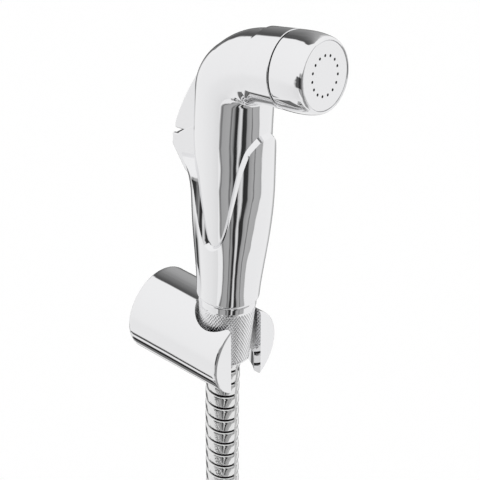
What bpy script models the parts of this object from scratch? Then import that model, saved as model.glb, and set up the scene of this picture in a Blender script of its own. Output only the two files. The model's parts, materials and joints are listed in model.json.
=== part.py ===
"""Handheld bidet shower: a chromed handset with a thumb lever, its wall holder and its spiral hose."""

import math

import bmesh
import bpy
from mathutils import Matrix, Vector

# Fits, in metres
GAP = 0.0003
PIN_CLEARANCE = 0.00008

# Hose
HOSE_DIAMETER = 0.014
COIL_RADIUS = 0.081
COIL_TURNS = 2
COIL_CENTRE_HEIGHT = -0.150
LAYER_STEP = HOSE_DIAMETER + GAP
TAIL_LENGTH = 0.035
TAIL_ARC = math.radians(35)

# Conical hose nut
NUT_TOP_RADIUS = 0.0117
NUT_TAPER = 0.0013
NUT_LENGTH = 0.0298
NUT_BAND = 0.0035
NUT_CHAMFER = 0.0012
THREAD_LENGTH = 0.0092
SOCKET_DEPTH = 0.0130
SOCKET_WALL = 0.0004
THREAD_WALL = 0.0006

# Wall holder, its axis along -Y out of the wall
NUT_PLAY = 0.0009
LOW_PLAY = 0.00125
HOLDER_WALL = 0.00575
HOLDER_LENGTH = 0.049
HOLDER_EDGE = 0.0008
BORE_FROM_FRONT = 0.0109
SLOT_PLAY = 0.0041
PLATE_WALL = 0.0030
PLATE_DEPTH = 0.009
PLATE_SCREW_SPACING = 0.017
PLATE_SCREW_RADIUS = 0.0022
GRUB_RADIUS = 0.0020

# Handset seat: the handset leans to the right in its loose bore
LEAN = math.radians(5.0)
TURN = math.radians(2.0)
SEAT_HEIGHT = 0.0242
SEAT_SHIFT = 0.00129
HOSE_SHIFT = 0.00405

# Handset body
WALL = 0.0020
GRIP_FOOT_RADIUS = 0.0127
FOOT_EDGE = 0.0010
GRIP_RADIUS = 0.0164
NECK_RADIUS = 0.0154
NECK_SET_BACK = 0.0030
NECK_FOOT_HEIGHT = 0.0183
BEND_HEIGHT = 0.0901
GRIP_DROP = 0.0128
INNER_BEND = 0.0008
BEND_FLATTEN = 0.070
HEAD_TILT = math.radians(10.1)
NECK_STRAIGHT = 0.0136
SPIGOT_LENGTH = 0.0066
SPIGOT_WALL = 0.0013

# Spray head
CAP_LENGTH = 0.0154
CAP_BULGE = 0.0006
FACE_RADIUS = 0.01415
FACE_RIM = 0.0008
FACE_THICKNESS = 0.0015
FACE_LEDGE = 0.0006
FACE_SPACE = 0.0012
DIFFUSER_THICKNESS = 0.0036
SEAL_WIDTH = 0.0030
INSERT_LENGTH = 0.0090
HOLE_COUNT = 15
HOLE_RING_RADIUS = 0.0077
HOLE_RADIUS = 0.0005

# Thumb lever and the grip's back leaf: places behind the axis, heights from the bend
LEVER_HALF_WIDTH = 0.0062
LEVER_PIN_BACK = 0.0130
LEVER_PIN_RISE = 0.0037
LEVER_PIN_RADIUS = 0.0015
LEVER_TIP_BACK = 0.0272
LEVER_TIP_DROP = 0.0202
LEVER_LIP = 0.0014
LEVER_CROWN = 0.0017
LEVER_TOP = 0.0065
LEVER_HUB_RADIUS = 0.0032
FORK_REACH = 0.0125
FORK_DROP = 0.0030
FORK_PLAY = 0.0004
LEVER_PRESS = math.radians(8.0)
LEAF_TIP_BACK = 0.0266
LEAF_TIP_DROP = 0.0290

# Valve, standing in the handset
VALVE_RADIUS = 0.0095
VALVE_FORWARD = -0.0005
VALVE_DROP = 0.0118
VALVE_LENGTH = 0.030
SPINDLE_FORWARD = -0.0030
SPINDLE_RADIUS = 0.0015
CHAMBER_RADIUS = 0.0043
CHAMBER_FLOOR = 0.0090
SEAT_HOLE_RADIUS = 0.0024
POPPET_THICKNESS = 0.0018
SPRING_WIRE = 0.0007
SPRING_TURNS = 5
CAP_DEPTH = 0.0040
OUTLET_FORWARD = 0.0053
TUBE_WALL = 0.0006
WASHER_BORE = 0.0050
OUTLET_TUBE_RADIUS = 0.0025
INLET_TUBE_RADIUS = 0.0032

# Hose end
END_NUT_ACROSS_FLATS = 0.024
END_NUT_LENGTH = 0.014
END_FERRULE_LENGTH = 0.020

RING_POINTS = 32
TURN_STEPS = 28

# Sizes that follow from those above
HOSE_RADIUS = HOSE_DIAMETER / 2
NUT_LOW_RADIUS = NUT_TOP_RADIUS - NUT_TAPER
BORE_RADIUS = NUT_TOP_RADIUS + NUT_PLAY
BORE_LOW_RADIUS = NUT_LOW_RADIUS + LOW_PLAY
HOLDER_RADIUS = BORE_RADIUS + HOLDER_WALL
BORE_FROM_WALL = HOLDER_LENGTH - BORE_FROM_FRONT
SLOT_WIDTH = HOSE_DIAMETER + SLOT_PLAY
PLATE_RADIUS = HOLDER_RADIUS - PLATE_WALL
THREAD_RADIUS = NUT_TOP_RADIUS - THREAD_WALL - GAP
HEAD_TURN = math.pi / 2 - HEAD_TILT
HEAD_REACH = NECK_STRAIGHT + CAP_LENGTH
TUBE_SEAT = 0.54 * SOCKET_DEPTH
VALVE_TOP = BEND_HEIGHT - VALVE_DROP
VALVE_FOOT = VALVE_TOP - VALVE_LENGTH
GRIP_HEIGHT = BEND_HEIGHT - GRIP_DROP
LEVER_PIN = (-LEVER_PIN_BACK, BEND_HEIGHT + LEVER_PIN_RISE)
LEVER_TIP = (-LEVER_TIP_BACK, BEND_HEIGHT - LEVER_TIP_DROP)
LEAF_TIP = (-LEAF_TIP_BACK, BEND_HEIGHT - LEAF_TIP_DROP)


# Scene, materials and shared shapes


def clear_scene():
    for obj in list(bpy.data.objects):
        bpy.data.objects.remove(obj, do_unlink=True)


def collection(name):
    made = bpy.data.collections.new(name)
    bpy.context.scene.collection.children.link(made)
    return made


def material(name, colour, roughness, metallic):
    made = bpy.data.materials.new(name)
    made.use_nodes = True
    shader = made.node_tree.nodes["Principled BSDF"]
    shader.inputs["Base Color"].default_value = (*colour, 1.0)
    shader.inputs["Roughness"].default_value = roughness
    shader.inputs["Metallic"].default_value = metallic
    return made


FINISHES = {
    "chrome": ((0.80, 0.80, 0.81), 0.08, 1.0),
    "brass": ((0.72, 0.55, 0.26), 0.30, 1.0),
    "steel": ((0.62, 0.62, 0.63), 0.30, 1.0),
    "white_plastic": ((0.82, 0.82, 0.80), 0.45, 0.0),
    "grey_plastic": ((0.30, 0.31, 0.32), 0.50, 0.0),
    "black_rubber": ((0.03, 0.03, 0.03), 0.70, 0.0),
}


def paint(obj, finish):
    obj.data.materials.clear()
    obj.data.materials.append(material(obj.name + "_finish", *FINISHES[finish]))
    return obj


def link(obj, group, parent=None):
    group.objects.link(obj)
    obj.parent = parent
    if group is CUTTERS:
        obj.hide_render = True
        obj.display_type = "WIRE"
    return obj


def frame(name, location, turns, parent=None):
    """An empty whose axes the pieces built on it follow."""
    empty = link(bpy.data.objects.new(name, None), PARTS, parent)
    empty.matrix_basis = Matrix.Translation(location) @ turns
    return empty


def at(forward, height, side=0.0):
    """A point of the handset in its own frame."""
    return Vector((side, -forward, height))


def turned(name, profile, group, parent, closed=False, steps=TURN_STEPS, place=None):
    """Turns a profile of (radius, height) points, listed down the outer side, about the local Z axis."""
    mesh = bpy.data.meshes.new(name)
    edges = [(i, i + 1) for i in range(len(profile) - 1)]
    if closed:
        edges.append((len(profile) - 1, 0))
    mesh.from_pydata([(radius, 0.0, height) for radius, height in profile], edges, [])
    obj = link(bpy.data.objects.new(name, mesh), group, parent)
    obj.matrix_basis = place or Matrix()
    screw = obj.modifiers.new("turn", "SCREW")
    screw.steps = screw.render_steps = steps
    screw.use_merge_vertices = True
    screw.merge_threshold = 1e-6
    return obj


def rod(name, radius, low, high, group, parent, steps=24, place=None):
    profile = [(0.0, high), (radius, high), (radius, low), (0.0, low)]
    return turned(name, profile, group, parent, steps=steps, place=place)


def collar(name, outer, inner, low, high, group, parent, steps=TURN_STEPS, place=None):
    profile = [(outer, high), (outer, low), (inner, low), (inner, high)]
    return turned(name, profile, group, parent, closed=True, steps=steps, place=place)


def box(name, low, high, group, parent):
    mesh = bpy.data.meshes.new(name)
    shape = bmesh.new()
    bmesh.ops.create_cube(shape, size=1.0)
    centre = (Vector(low) + Vector(high)) / 2
    size = Vector(high) - Vector(low)
    bmesh.ops.scale(shape, vec=size, verts=shape.verts)
    bmesh.ops.translate(shape, vec=centre, verts=shape.verts)
    shape.to_mesh(mesh)
    shape.free()
    return link(bpy.data.objects.new(name, mesh), group, parent)


def as_mesh(obj, group, parent):
    """Replaces a curve object by its mesh, with the caps welded to the sides."""
    bpy.context.view_layer.update()
    graph = bpy.context.evaluated_depsgraph_get()
    mesh = bpy.data.meshes.new_from_object(obj.evaluated_get(graph))
    shape = bmesh.new()
    shape.from_mesh(mesh)
    bmesh.ops.remove_doubles(shape, verts=shape.verts, dist=1e-6)
    bmesh.ops.recalc_face_normals(shape, faces=shape.faces)
    shape.to_mesh(mesh)
    shape.free()
    name, basis = obj.name, obj.matrix_basis.copy()
    bpy.data.objects.remove(obj, do_unlink=True)
    made = link(bpy.data.objects.new(name, mesh), group, parent)
    made.name = name
    made.matrix_basis = basis
    return made


def side_plate(name, outline, half_width, group, parent):
    """A plate of the handset cut to an outline of (forward, height) points."""
    curve = bpy.data.curves.new(name, "CURVE")
    curve.dimensions = "2D"
    curve.fill_mode = "BOTH"
    curve.extrude = half_width
    spline = curve.splines.new("POLY")
    spline.points.add(len(outline) - 1)
    for point, (forward, height) in zip(spline.points, outline):
        point.co = (forward, height, 0.0, 1.0)
    spline.use_cyclic_u = True
    obj = link(bpy.data.objects.new(name, curve), group, parent)
    obj.matrix_basis = Matrix(((0, 0, -1, 0), (-1, 0, 0, 0), (0, 1, 0, 0), (0, 0, 0, 1)))
    return as_mesh(obj, group, parent)


def tube(name, points, radius, group, parent):
    """A round bar along the given points."""
    curve = bpy.data.curves.new(name, "CURVE")
    curve.dimensions = "3D"
    curve.bevel_depth = radius
    curve.bevel_resolution = 2
    curve.use_fill_caps = True
    spline = curve.splines.new("POLY")
    spline.points.add(len(points) - 1)
    for knot, point in zip(spline.points, points):
        knot.co = (*point, 1.0)
    obj = link(bpy.data.objects.new(name, curve), group, parent)
    return as_mesh(obj, group, parent)


def shaped(obj, operation, *others):
    """Cuts the others from obj, joins them to it or keeps what they share with it."""
    for other in others:
        boolean = obj.modifiers.new(other.name, "BOOLEAN")
        boolean.operation = operation
        boolean.solver = "EXACT"
        boolean.object = other
    return obj


def smooth(obj, angle=math.radians(35)):
    obj.data.shade_smooth()
    obj.data.set_sharp_from_angle(angle=angle)
    return obj


def loft(name, rings, group, parent):
    """Skins closed rings of equal point counts and caps both ends."""
    mesh = bpy.data.meshes.new(name)
    shape = bmesh.new()
    rows = [[shape.verts.new(point) for point in ring] for ring in rings]
    for low, high in zip(rows, rows[1:]):
        for i in range(len(low)):
            j = (i + 1) % len(low)
            shape.faces.new((low[i], low[j], high[j], high[i]))
    shape.faces.new(rows[0])
    shape.faces.new(rows[-1])
    bmesh.ops.triangulate(shape, faces=shape.faces)
    bmesh.ops.recalc_face_normals(shape, faces=shape.faces)
    shape.to_mesh(mesh)
    shape.free()
    return smooth(link(bpy.data.objects.new(name, mesh), group, parent))


def ring(forward, height, lean, front, back, half_width):
    """One section: its centre, the lean of its plane, and its reach forwards, backwards and sideways."""
    points = []
    for i in range(RING_POINTS):
        angle = 2 * math.pi * i / RING_POINTS
        reach = (front if math.cos(angle) > 0 else back) * math.cos(angle)
        side = half_width * math.sin(angle)
        points.append(at(forward + reach * math.cos(lean), height - reach * math.sin(lean), side))
    return points


# Handset body


def neck_shift(height):
    """Forward place of the body's axis: it runs back from the foot to the neck."""
    share = min(max(height / BEND_HEIGHT, 0.0), 1.0)
    return -NECK_SET_BACK * math.sin(share * math.pi / 2) ** 2


def grip_size(height):
    """Radius of the grip: it swells from the foot and closes a little to the leaf tip."""
    share = min(height / GRIP_HEIGHT, 1.0)
    swell = math.sin(min(share / 0.64, 1.0) * math.pi / 2)
    fall = max(share - 0.66, 0.0) / 0.34
    size = GRIP_FOOT_RADIUS + (GRIP_RADIUS - GRIP_FOOT_RADIUS) * swell**1.5
    return size - (GRIP_RADIUS - NECK_RADIUS) * 0.55 * fall


def leaf_flare(height):
    """How far the grip's back leaf stands out behind its round section."""
    start = 0.62 * LEAF_TIP[1]
    share = min(max(height - start, 0.0) / (LEAF_TIP[1] - start), 1.0)
    reach = -LEAF_TIP[0] + 0.5 * neck_shift(LEAF_TIP[1]) - grip_size(LEAF_TIP[1])
    return reach * share**3.2


def head_axis(distance):
    """(forward, height) on the head's axis, at a distance from the end of the bend."""
    out = NECK_RADIUS + INNER_BEND
    forward = neck_shift(BEND_HEIGHT) + out * (1 - math.cos(HEAD_TURN))
    height = BEND_HEIGHT + out * math.sin(HEAD_TURN)
    return forward + distance * math.cos(HEAD_TILT), height + distance * math.sin(HEAD_TILT)


def bend_rings(shrink, start, ends):
    """Sections round the bend, each size less by shrink, then (distance, radius) ones along the head's axis."""
    pivot = neck_shift(BEND_HEIGHT) + NECK_RADIUS + INNER_BEND
    rings = []
    steps = 9
    for i in range(start, steps + 1):
        lean = HEAD_TURN * i / steps
        share = i / steps
        inwards = math.sin(0.68 * math.pi * share) - 0.3 * max(0.0, math.sin(2 * math.pi * share))
        reach = NECK_RADIUS * (1 - BEND_FLATTEN * inwards)
        out = reach + INNER_BEND
        size = reach - shrink
        rings.append(ring(pivot - out * math.cos(lean), BEND_HEIGHT + out * math.sin(lean), lean,
                          size, size, NECK_RADIUS - shrink))
    for distance, size in ends:
        rings.append(ring(*head_axis(distance), HEAD_TURN, size, size, size))
    return rings


def head_centre():
    """(forward, height) of the middle of the spray face."""
    return head_axis(HEAD_REACH)


def neck_size(height):
    """Radius of the upper body where it runs down inside the grip."""
    share = min(max((height - NECK_FOOT_HEIGHT) / (0.5 * BEND_HEIGHT), 0.0), 1.0)
    low = grip_size(NECK_FOOT_HEIGHT) - 2 * GAP
    return low + (NECK_RADIUS - low) * math.sin(share * math.pi / 2)


def upper_body(group):
    rings = []
    steps = 10
    for i in range(steps):
        height = NECK_FOOT_HEIGHT + (BEND_HEIGHT - NECK_FOOT_HEIGHT) * i / steps
        size = neck_size(height)
        rings.append(ring(neck_shift(height), height, 0.0, size, size, size))
    ends = [(NECK_STRAIGHT, NECK_RADIUS), (NECK_STRAIGHT, SPIGOT_RADIUS),
            (NECK_STRAIGHT + SPIGOT_LENGTH, SPIGOT_RADIUS)]
    return loft("handset_body", rings + bend_rings(0.0, 0, ends), group, HANDSET)


def grip():
    """The grip, with the U-shaped hollow that leaves a pointed leaf in front and one behind."""
    foot = GRIP_FOOT_RADIUS - FOOT_EDGE
    rings = [ring(0.0, 0.0, 0.0, foot, foot, foot)]
    steps = 16
    for i in range(steps + 1):
        height = FOOT_EDGE + (GRIP_HEIGHT - FOOT_EDGE) * i / steps
        size = grip_size(height)
        back = size + leaf_flare(height)
        rings.append(ring(neck_shift(height) * 0.5, height, 0.0, size, back, size))
    shape = loft("grip_form", rings, CUTTERS, HANDSET)
    return shaped(shape, "DIFFERENCE", side_plate(
        "grip_hollow", hollow_outline(), 3 * GRIP_RADIUS, CUTTERS, HANDSET))


def hollow_outline():
    """Outline, seen from the side, of the hollow between the grip's two leaves."""
    foot, tip = 0.36 * GRIP_HEIGHT, 0.99 * GRIP_HEIGHT
    front, back = 0.60 * GRIP_RADIUS, LEAF_TIP[0]
    outline = [(0.0006, foot)]
    for i in range(1, 9):
        share = i / 8
        outline.append((front * share**0.5, foot + (0.80 * tip - foot) * share**1.6))
    outline.append((0.71 * GRIP_RADIUS, 0.94 * tip))
    outline.append((0.84 * GRIP_RADIUS, tip))
    outline.append((0.84 * GRIP_RADIUS, 1.2 * tip))
    outline.append((2 * back, 1.2 * tip))
    outline.append((2 * back, LEAF_TIP[1] + 0.0024))
    for i in range(6, 0, -1):
        share = i / 6
        rise = LEAF_TIP[1] + 0.0004 - foot
        outline.append((0.40 * back * share**0.7 + 0.65 * back * share**12, foot + rise * share**0.8))
    return outline


def heel_outline():
    """The fixed heel below the lever's tip."""
    back = LEVER_TIP[0] + 0.0006
    return [(back, HEEL_TOP), (back, LEAF_TIP[1] + 0.0022), (LEAF_TIP[0], LEAF_TIP[1]),
            (LEAF_TIP[0] * 0.74, LEAF_TIP[1] - 0.009), (-0.008, LEAF_TIP[1] - 0.016),
            (-0.008, HEEL_TOP)]


def cavity():
    """The hollow inside the handset, from the inlet's socket to the head."""
    rings = []
    foot = THREAD_RADIUS - SOCKET_WALL
    shoulder = SOCKET_DEPTH + 0.0055
    for height, size in ((-0.001, foot), (SOCKET_DEPTH + 0.0005, foot), (shoulder, foot + 0.0014)):
        rings.append(ring(neck_shift(height), height, 0.0, size, size, size))
    steps = 5
    for i in range(1, steps + 1):
        height = shoulder + (BEND_HEIGHT - 0.001 - shoulder) * i / steps
        size = neck_size(height) - WALL
        rings.append(ring(neck_shift(height), height, 0.0, size, size, size))
    bore = SPIGOT_RADIUS - SPIGOT_WALL
    ends = [(NECK_STRAIGHT - 0.0050, NECK_RADIUS - WALL), (NECK_STRAIGHT - 0.0030, bore),
            (NECK_STRAIGHT + SPIGOT_LENGTH + 0.002, bore)]
    return loft("handset_hollow", rings + bend_rings(WALL, 1, ends), CUTTERS, HANDSET)


def handset_body():
    body = upper_body(PARTS)
    heel = side_plate("heel_form", heel_outline(), LEVER_HALF_WIDTH, CUTTERS, HANDSET)
    shaped(body, "UNION", grip(), heel)
    half = LEVER_HALF_WIDTH + GAP
    bosses = rod("boss_form", 0.0030, -BOSS_REACH, BOSS_REACH, CUTTERS, HANDSET, place=PIN_PLACE)
    hollow = shaped(cavity(), "DIFFERENCE", bosses)
    slot = box("lever_slot", (-half, -LEVER_PIN[0] - 0.0060, HEEL_TOP),
               (half, 2 * GRIP_RADIUS, LEVER_PIN[1] + LEVER_TOP + 2 * GAP), CUTTERS, HANDSET)
    pin_hole = rod("pin_hole", LEVER_PIN_RADIUS + PIN_CLEARANCE, -PIN_REACH - GAP,
                   PIN_REACH + GAP, CUTTERS, HANDSET, place=PIN_PLACE)
    return paint(shaped(body, "DIFFERENCE", hollow, slot, pin_hole), "chrome")


# Inlet, valve and water tubes


def inlet_stem():
    socket = THREAD_RADIUS - SOCKET_WALL - GAP
    way, hold = INLET_TUBE_RADIUS - TUBE_WALL, INLET_TUBE_RADIUS + GAP
    profile = [
        (socket, SOCKET_DEPTH), (socket, -0.0004), (THREAD_RADIUS, -0.0009),
        (THREAD_RADIUS, -THREAD_LENGTH), (WASHER_BORE, -THREAD_LENGTH), (WASHER_BORE, 0.15 * SOCKET_DEPTH),
        (way, 0.3 * SOCKET_DEPTH), (way, TUBE_SEAT), (hold, TUBE_SEAT), (hold, SOCKET_DEPTH),
    ]
    return paint(turned("inlet_stem", profile, PARTS, HANDSET, closed=True), "brass")


def inlet_tube():
    low, high = TUBE_SEAT + GAP, VALVE_FOOT + 0.0050
    bend = 0.008
    points = [at(0, low), at(0, SOCKET_DEPTH + bend / 2), at(SPINDLE_FORWARD * 0.15, SOCKET_DEPTH + bend),
              at(SPINDLE_FORWARD * 0.85, VALVE_FOOT - bend), at(SPINDLE_FORWARD, VALVE_FOOT - bend / 2),
              at(SPINDLE_FORWARD, high)]
    outer = tube("inlet_tube", points, INLET_TUBE_RADIUS, PARTS, HANDSET)
    long = [at(0, low - 0.001)] + points[1:-1] + [at(SPINDLE_FORWARD, high + 0.001)]
    bore = tube("inlet_tube_bore", long, INLET_TUBE_RADIUS - TUBE_WALL, CUTTERS, HANDSET)
    return paint(shaped(outer, "DIFFERENCE", bore), "white_plastic")


def valve_body():
    place = Matrix.Translation(at(VALVE_FORWARD, 0))
    flange = neck_size(VALVE_FOOT + 0.004) - WALL - 0.0016
    profile = [(0.0, VALVE_TOP), (VALVE_RADIUS, VALVE_TOP), (VALVE_RADIUS, VALVE_FOOT + 0.007),
               (flange, VALVE_FOOT + 0.006), (flange, VALVE_FOOT + 0.003),
               (VALVE_RADIUS, VALVE_FOOT + 0.002), (VALVE_RADIUS, VALVE_FOOT), (0.0, VALVE_FOOT)]
    body = turned("valve_body", profile, PARTS, HANDSET, place=place)
    on_spindle = Matrix.Translation(at(SPINDLE_FORWARD, 0))
    on_outlet = Matrix.Translation(at(OUTLET_FORWARD, 0))
    floor = VALVE_FOOT + CHAMBER_FLOOR
    chamber = rod("valve_chamber", CHAMBER_RADIUS, floor, VALVE_TOP + 0.001, CUTTERS, HANDSET,
                  steps=32, place=on_spindle)
    seat = rod("valve_seat_hole", SEAT_HOLE_RADIUS, VALVE_FOOT - 0.001, floor + 0.001, CUTTERS,
               HANDSET, place=on_spindle)
    socket = rod("valve_inlet_socket", INLET_TUBE_RADIUS + GAP, VALVE_FOOT - 0.001,
                 VALVE_FOOT + 0.005 + GAP, CUTTERS, HANDSET, place=on_spindle)
    outlet = rod("valve_outlet_hole", OUTLET_TUBE_RADIUS - TUBE_WALL, floor + 0.0055,
                 VALVE_TOP + 0.001, CUTTERS, HANDSET, place=on_outlet)
    outlet_socket = rod("valve_outlet_socket", OUTLET_TUBE_RADIUS + GAP, VALVE_TOP - 0.006,
                        VALVE_TOP + 0.001, CUTTERS, HANDSET, place=on_outlet)
    across = Matrix.Translation(at(0, floor + 0.0075)) @ Matrix.Rotation(math.pi / 2, 4, "X")
    cross = rod("valve_cross_hole", 0.9 * (OUTLET_TUBE_RADIUS - TUBE_WALL), SPINDLE_FORWARD + 2 * GAP,
                OUTLET_FORWARD + 2 * GAP, CUTTERS, HANDSET, steps=14, place=across)
    shaped(body, "DIFFERENCE", chamber, seat, socket, outlet, outlet_socket, cross)
    return paint(body, "grey_plastic")


def valve_cap():
    under = VALVE_TOP - CAP_DEPTH
    rod_hole = SPINDLE_RADIUS + PIN_CLEARANCE
    plug = CHAMBER_RADIUS - GAP
    profile = [(plug + 0.0014, VALVE_TOP + 0.0034), (plug + 0.0014, VALVE_TOP + GAP),
               (plug, VALVE_TOP + GAP), (plug, under), (0.0030, under), (0.0030, under + 0.0018),
               (rod_hole, under + 0.0018), (rod_hole, VALVE_TOP + 0.0034)]
    place = Matrix.Translation(at(SPINDLE_FORWARD, 0))
    return paint(turned("valve_cap", profile, PARTS, HANDSET, closed=True, place=place), "brass")


def spindle_seal():
    under = VALVE_TOP - CAP_DEPTH
    seal = collar("spindle_seal", 0.0030 - GAP / 3, SPINDLE_RADIUS + GAP / 3, under + 0.0002,
                  under + 0.0018 - GAP / 3, PARTS, HANDSET,
                  place=Matrix.Translation(at(SPINDLE_FORWARD, 0)))
    return paint(seal, "black_rubber")


def poppet_top():
    return VALVE_FOOT + CHAMBER_FLOOR + GAP + 0.0012 + POPPET_THICKNESS


def valve_spindle():
    under = poppet_top() - POPPET_THICKNESS
    fork_top = FORK_HEIGHT + FORK_PLAY
    poppet = CHAMBER_RADIUS - 0.0004
    profile = [(0.0, fork_top + 0.0034), (0.0012, fork_top + 0.0034), (0.0031, fork_top + 0.0016),
               (0.0031, fork_top), (SPINDLE_RADIUS, fork_top), (SPINDLE_RADIUS, poppet_top()),
               (poppet, poppet_top()), (poppet, under), (0.0, under)]
    place = Matrix.Translation(at(SPINDLE_FORWARD, 0))
    return paint(turned("valve_spindle", profile, PARTS, HANDSET, steps=32, place=place), "brass")


def poppet_seal():
    top = poppet_top() - POPPET_THICKNESS
    disc = rod("poppet_seal", CHAMBER_RADIUS - 0.0008, top - 0.0012 + 0.0001, top - 0.0001, PARTS,
               HANDSET, steps=32, place=Matrix.Translation(at(SPINDLE_FORWARD, 0)))
    return paint(disc, "black_rubber")


def valve_spring():
    """A compression spring between the poppet and the cap."""
    low = poppet_top() + SPRING_WIRE / 2 + GAP / 3
    high = VALVE_TOP - CAP_DEPTH - SPRING_WIRE / 2 - GAP / 3
    mean = CHAMBER_RADIUS - SPRING_WIRE / 2 - 0.0003
    count = 8 * SPRING_TURNS
    points = []
    for i in range(count + 1):
        angle = 2 * math.pi * i / 8
        share = i / count
        height = low + (high - low) * share
        points.append(at(SPINDLE_FORWARD + mean * math.cos(angle), height, mean * math.sin(angle)))
    return paint(tube("valve_spring", points, SPRING_WIRE / 2, PARTS, HANDSET), "steel")


def outlet_tube():
    foot = VALVE_TOP - 0.006 + GAP
    end = head_point(-CAP_LENGTH - 0.0005)
    mid = head_point(-CAP_LENGTH - 0.006)
    corner = at(OUTLET_FORWARD, BEND_HEIGHT + 0.004)
    points = [at(OUTLET_FORWARD, foot), at(OUTLET_FORWARD, VALVE_TOP + 0.005)]
    for i in range(1, 8):
        share = i / 8
        points.append(points[1] * (1 - share) ** 2 + corner * 2 * share * (1 - share) + mid * share**2)
    points += [mid, end]
    outer = tube("outlet_tube", points, OUTLET_TUBE_RADIUS, PARTS, HANDSET)
    reach = (end - mid).normalized() * 0.001
    long = [points[0] - Vector((0, 0, 0.001))] + points[1:-1] + [end + reach]
    bore = tube("outlet_tube_bore", long, OUTLET_TUBE_RADIUS - TUBE_WALL, CUTTERS, HANDSET)
    return paint(shaped(outer, "DIFFERENCE", bore), "white_plastic")


def head_point(distance):
    """A point on the head's axis, at a distance in front of the spray face."""
    forward, height = head_centre()
    return at(forward + distance * math.cos(HEAD_TILT), height + distance * math.sin(HEAD_TILT))


# Thumb lever


def pressed_lip_height():
    """Height of the lever's lip when the lever is pressed home."""
    drop = LEVER_PIN[1] - LEVER_TIP[1] + LEVER_LIP
    back = LEVER_PIN[0] - LEVER_TIP[0]
    return LEVER_PIN[1] - drop * math.cos(LEVER_PRESS) - back * math.sin(LEVER_PRESS)


def lever_outline():
    """Side outline of the lever: a crowned back from its top to its tip, and a hollow front."""
    top = (LEVER_PIN[0] - 0.0006, LEVER_PIN[1] + LEVER_TOP)
    tip_forward, tip_height = LEVER_TIP
    outline = []
    for i in range(9):
        share = i / 8
        crown = LEVER_CROWN * math.sin(math.pi * share) ** 0.6
        outline.append((top[0] + (tip_forward - top[0]) * share - crown,
                        top[1] + (tip_height - top[1]) * share))
    outline += [(tip_forward + 0.0001, tip_height - LEVER_LIP), (tip_forward + 0.0040, tip_height - 0.0010),
                (tip_forward + 0.0075, tip_height + 0.0130), (LEVER_PIN[0] - 0.0030, LEVER_PIN[1] - 0.0040),
                (LEVER_PIN[0] + 0.0014, LEVER_PIN[1] + 0.0010),
                (LEVER_PIN[0] + 0.0014, LEVER_PIN[1] + 0.7 * LEVER_TOP)]
    return outline


def trigger_lever():
    shell = side_plate("trigger_lever", lever_outline(), LEVER_HALF_WIDTH - GAP, PARTS, HANDSET)
    hub = rod("lever_hub", LEVER_HUB_RADIUS, -LEVER_HALF_WIDTH + 2 * GAP, LEVER_HALF_WIDTH - 2 * GAP,
              CUTTERS, HANDSET, place=PIN_PLACE)
    arm = box("lever_arm", (-0.0045, -LEVER_PIN[0] - FORK_REACH, FORK_HEIGHT - 0.0018),
              (0.0045, -LEVER_PIN[0], FORK_HEIGHT), CUTTERS, HANDSET)
    shaped(shell, "UNION", hub, arm)
    rod_gap = SPINDLE_RADIUS + 0.0005
    notch = box("fork_notch", (-rod_gap, -LEVER_PIN[0] - FORK_REACH - 0.001, FORK_HEIGHT - 0.004),
                (rod_gap, -SPINDLE_FORWARD + rod_gap + 0.0006, FORK_HEIGHT + 0.004), CUTTERS, HANDSET)
    bore = rod("lever_bore", LEVER_PIN_RADIUS + PIN_CLEARANCE, -LEVER_HALF_WIDTH, LEVER_HALF_WIDTH,
               CUTTERS, HANDSET, place=PIN_PLACE)
    shaped(shell, "DIFFERENCE", notch, bore)
    return paint(shell, "chrome")


def lever_pin():
    return paint(rod("lever_pin", LEVER_PIN_RADIUS, -PIN_REACH, PIN_REACH, PARTS, HANDSET,
                     place=PIN_PLACE), "steel")


# Spray head, built on the head's own frame with the face at height 0


def spray_cap():
    rim = FACE_RADIUS - FACE_RIM
    ledge = rim - FACE_LEDGE
    back = -CAP_LENGTH + GAP
    profile = [(FACE_RADIUS - 0.0003, 0.0)]
    steps = 6
    for i in range(steps + 1):
        share = i / steps
        width = FACE_RADIUS + (NECK_RADIUS - FACE_RADIUS) * share**0.6
        bulge = CAP_BULGE * math.sin(math.pi * share**0.8)
        profile.append((width + bulge, -0.0003 + (back + 0.0003) * share))
    profile += [(SPIGOT_RADIUS + GAP, back), (SPIGOT_RADIUS + GAP, -0.0070), (ledge, -0.0064),
                (ledge, -FACE_THICKNESS - FACE_LEDGE), (rim, -FACE_THICKNESS - FACE_LEDGE), (rim, 0.0)]
    return paint(turned("spray_cap", profile, PARTS, HEAD, closed=True, steps=36), "chrome")


def spray_face():
    """The face plate with its ring of spray holes."""
    low = -FACE_THICKNESS - GAP
    face = rod("spray_face", FACE_RADIUS - FACE_RIM - GAP / 3, low, low + FACE_THICKNESS, PARTS, HEAD,
               steps=48)
    mesh = bpy.data.meshes.new("spray_holes")
    shape = bmesh.new()
    for i in range(HOLE_COUNT):
        angle = 2 * math.pi * i / HOLE_COUNT
        place = Matrix.Translation((HOLE_RING_RADIUS * math.cos(angle),
                                    HOLE_RING_RADIUS * math.sin(angle), low / 2))
        bmesh.ops.create_cone(shape, cap_ends=True, segments=8, radius1=HOLE_RADIUS,
                              radius2=HOLE_RADIUS, depth=3 * FACE_THICKNESS, matrix=place)
    shape.to_mesh(mesh)
    shape.free()
    holes = link(bpy.data.objects.new("spray_holes", mesh), CUTTERS, HEAD)
    return paint(shaped(face, "DIFFERENCE", holes), "chrome")


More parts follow.
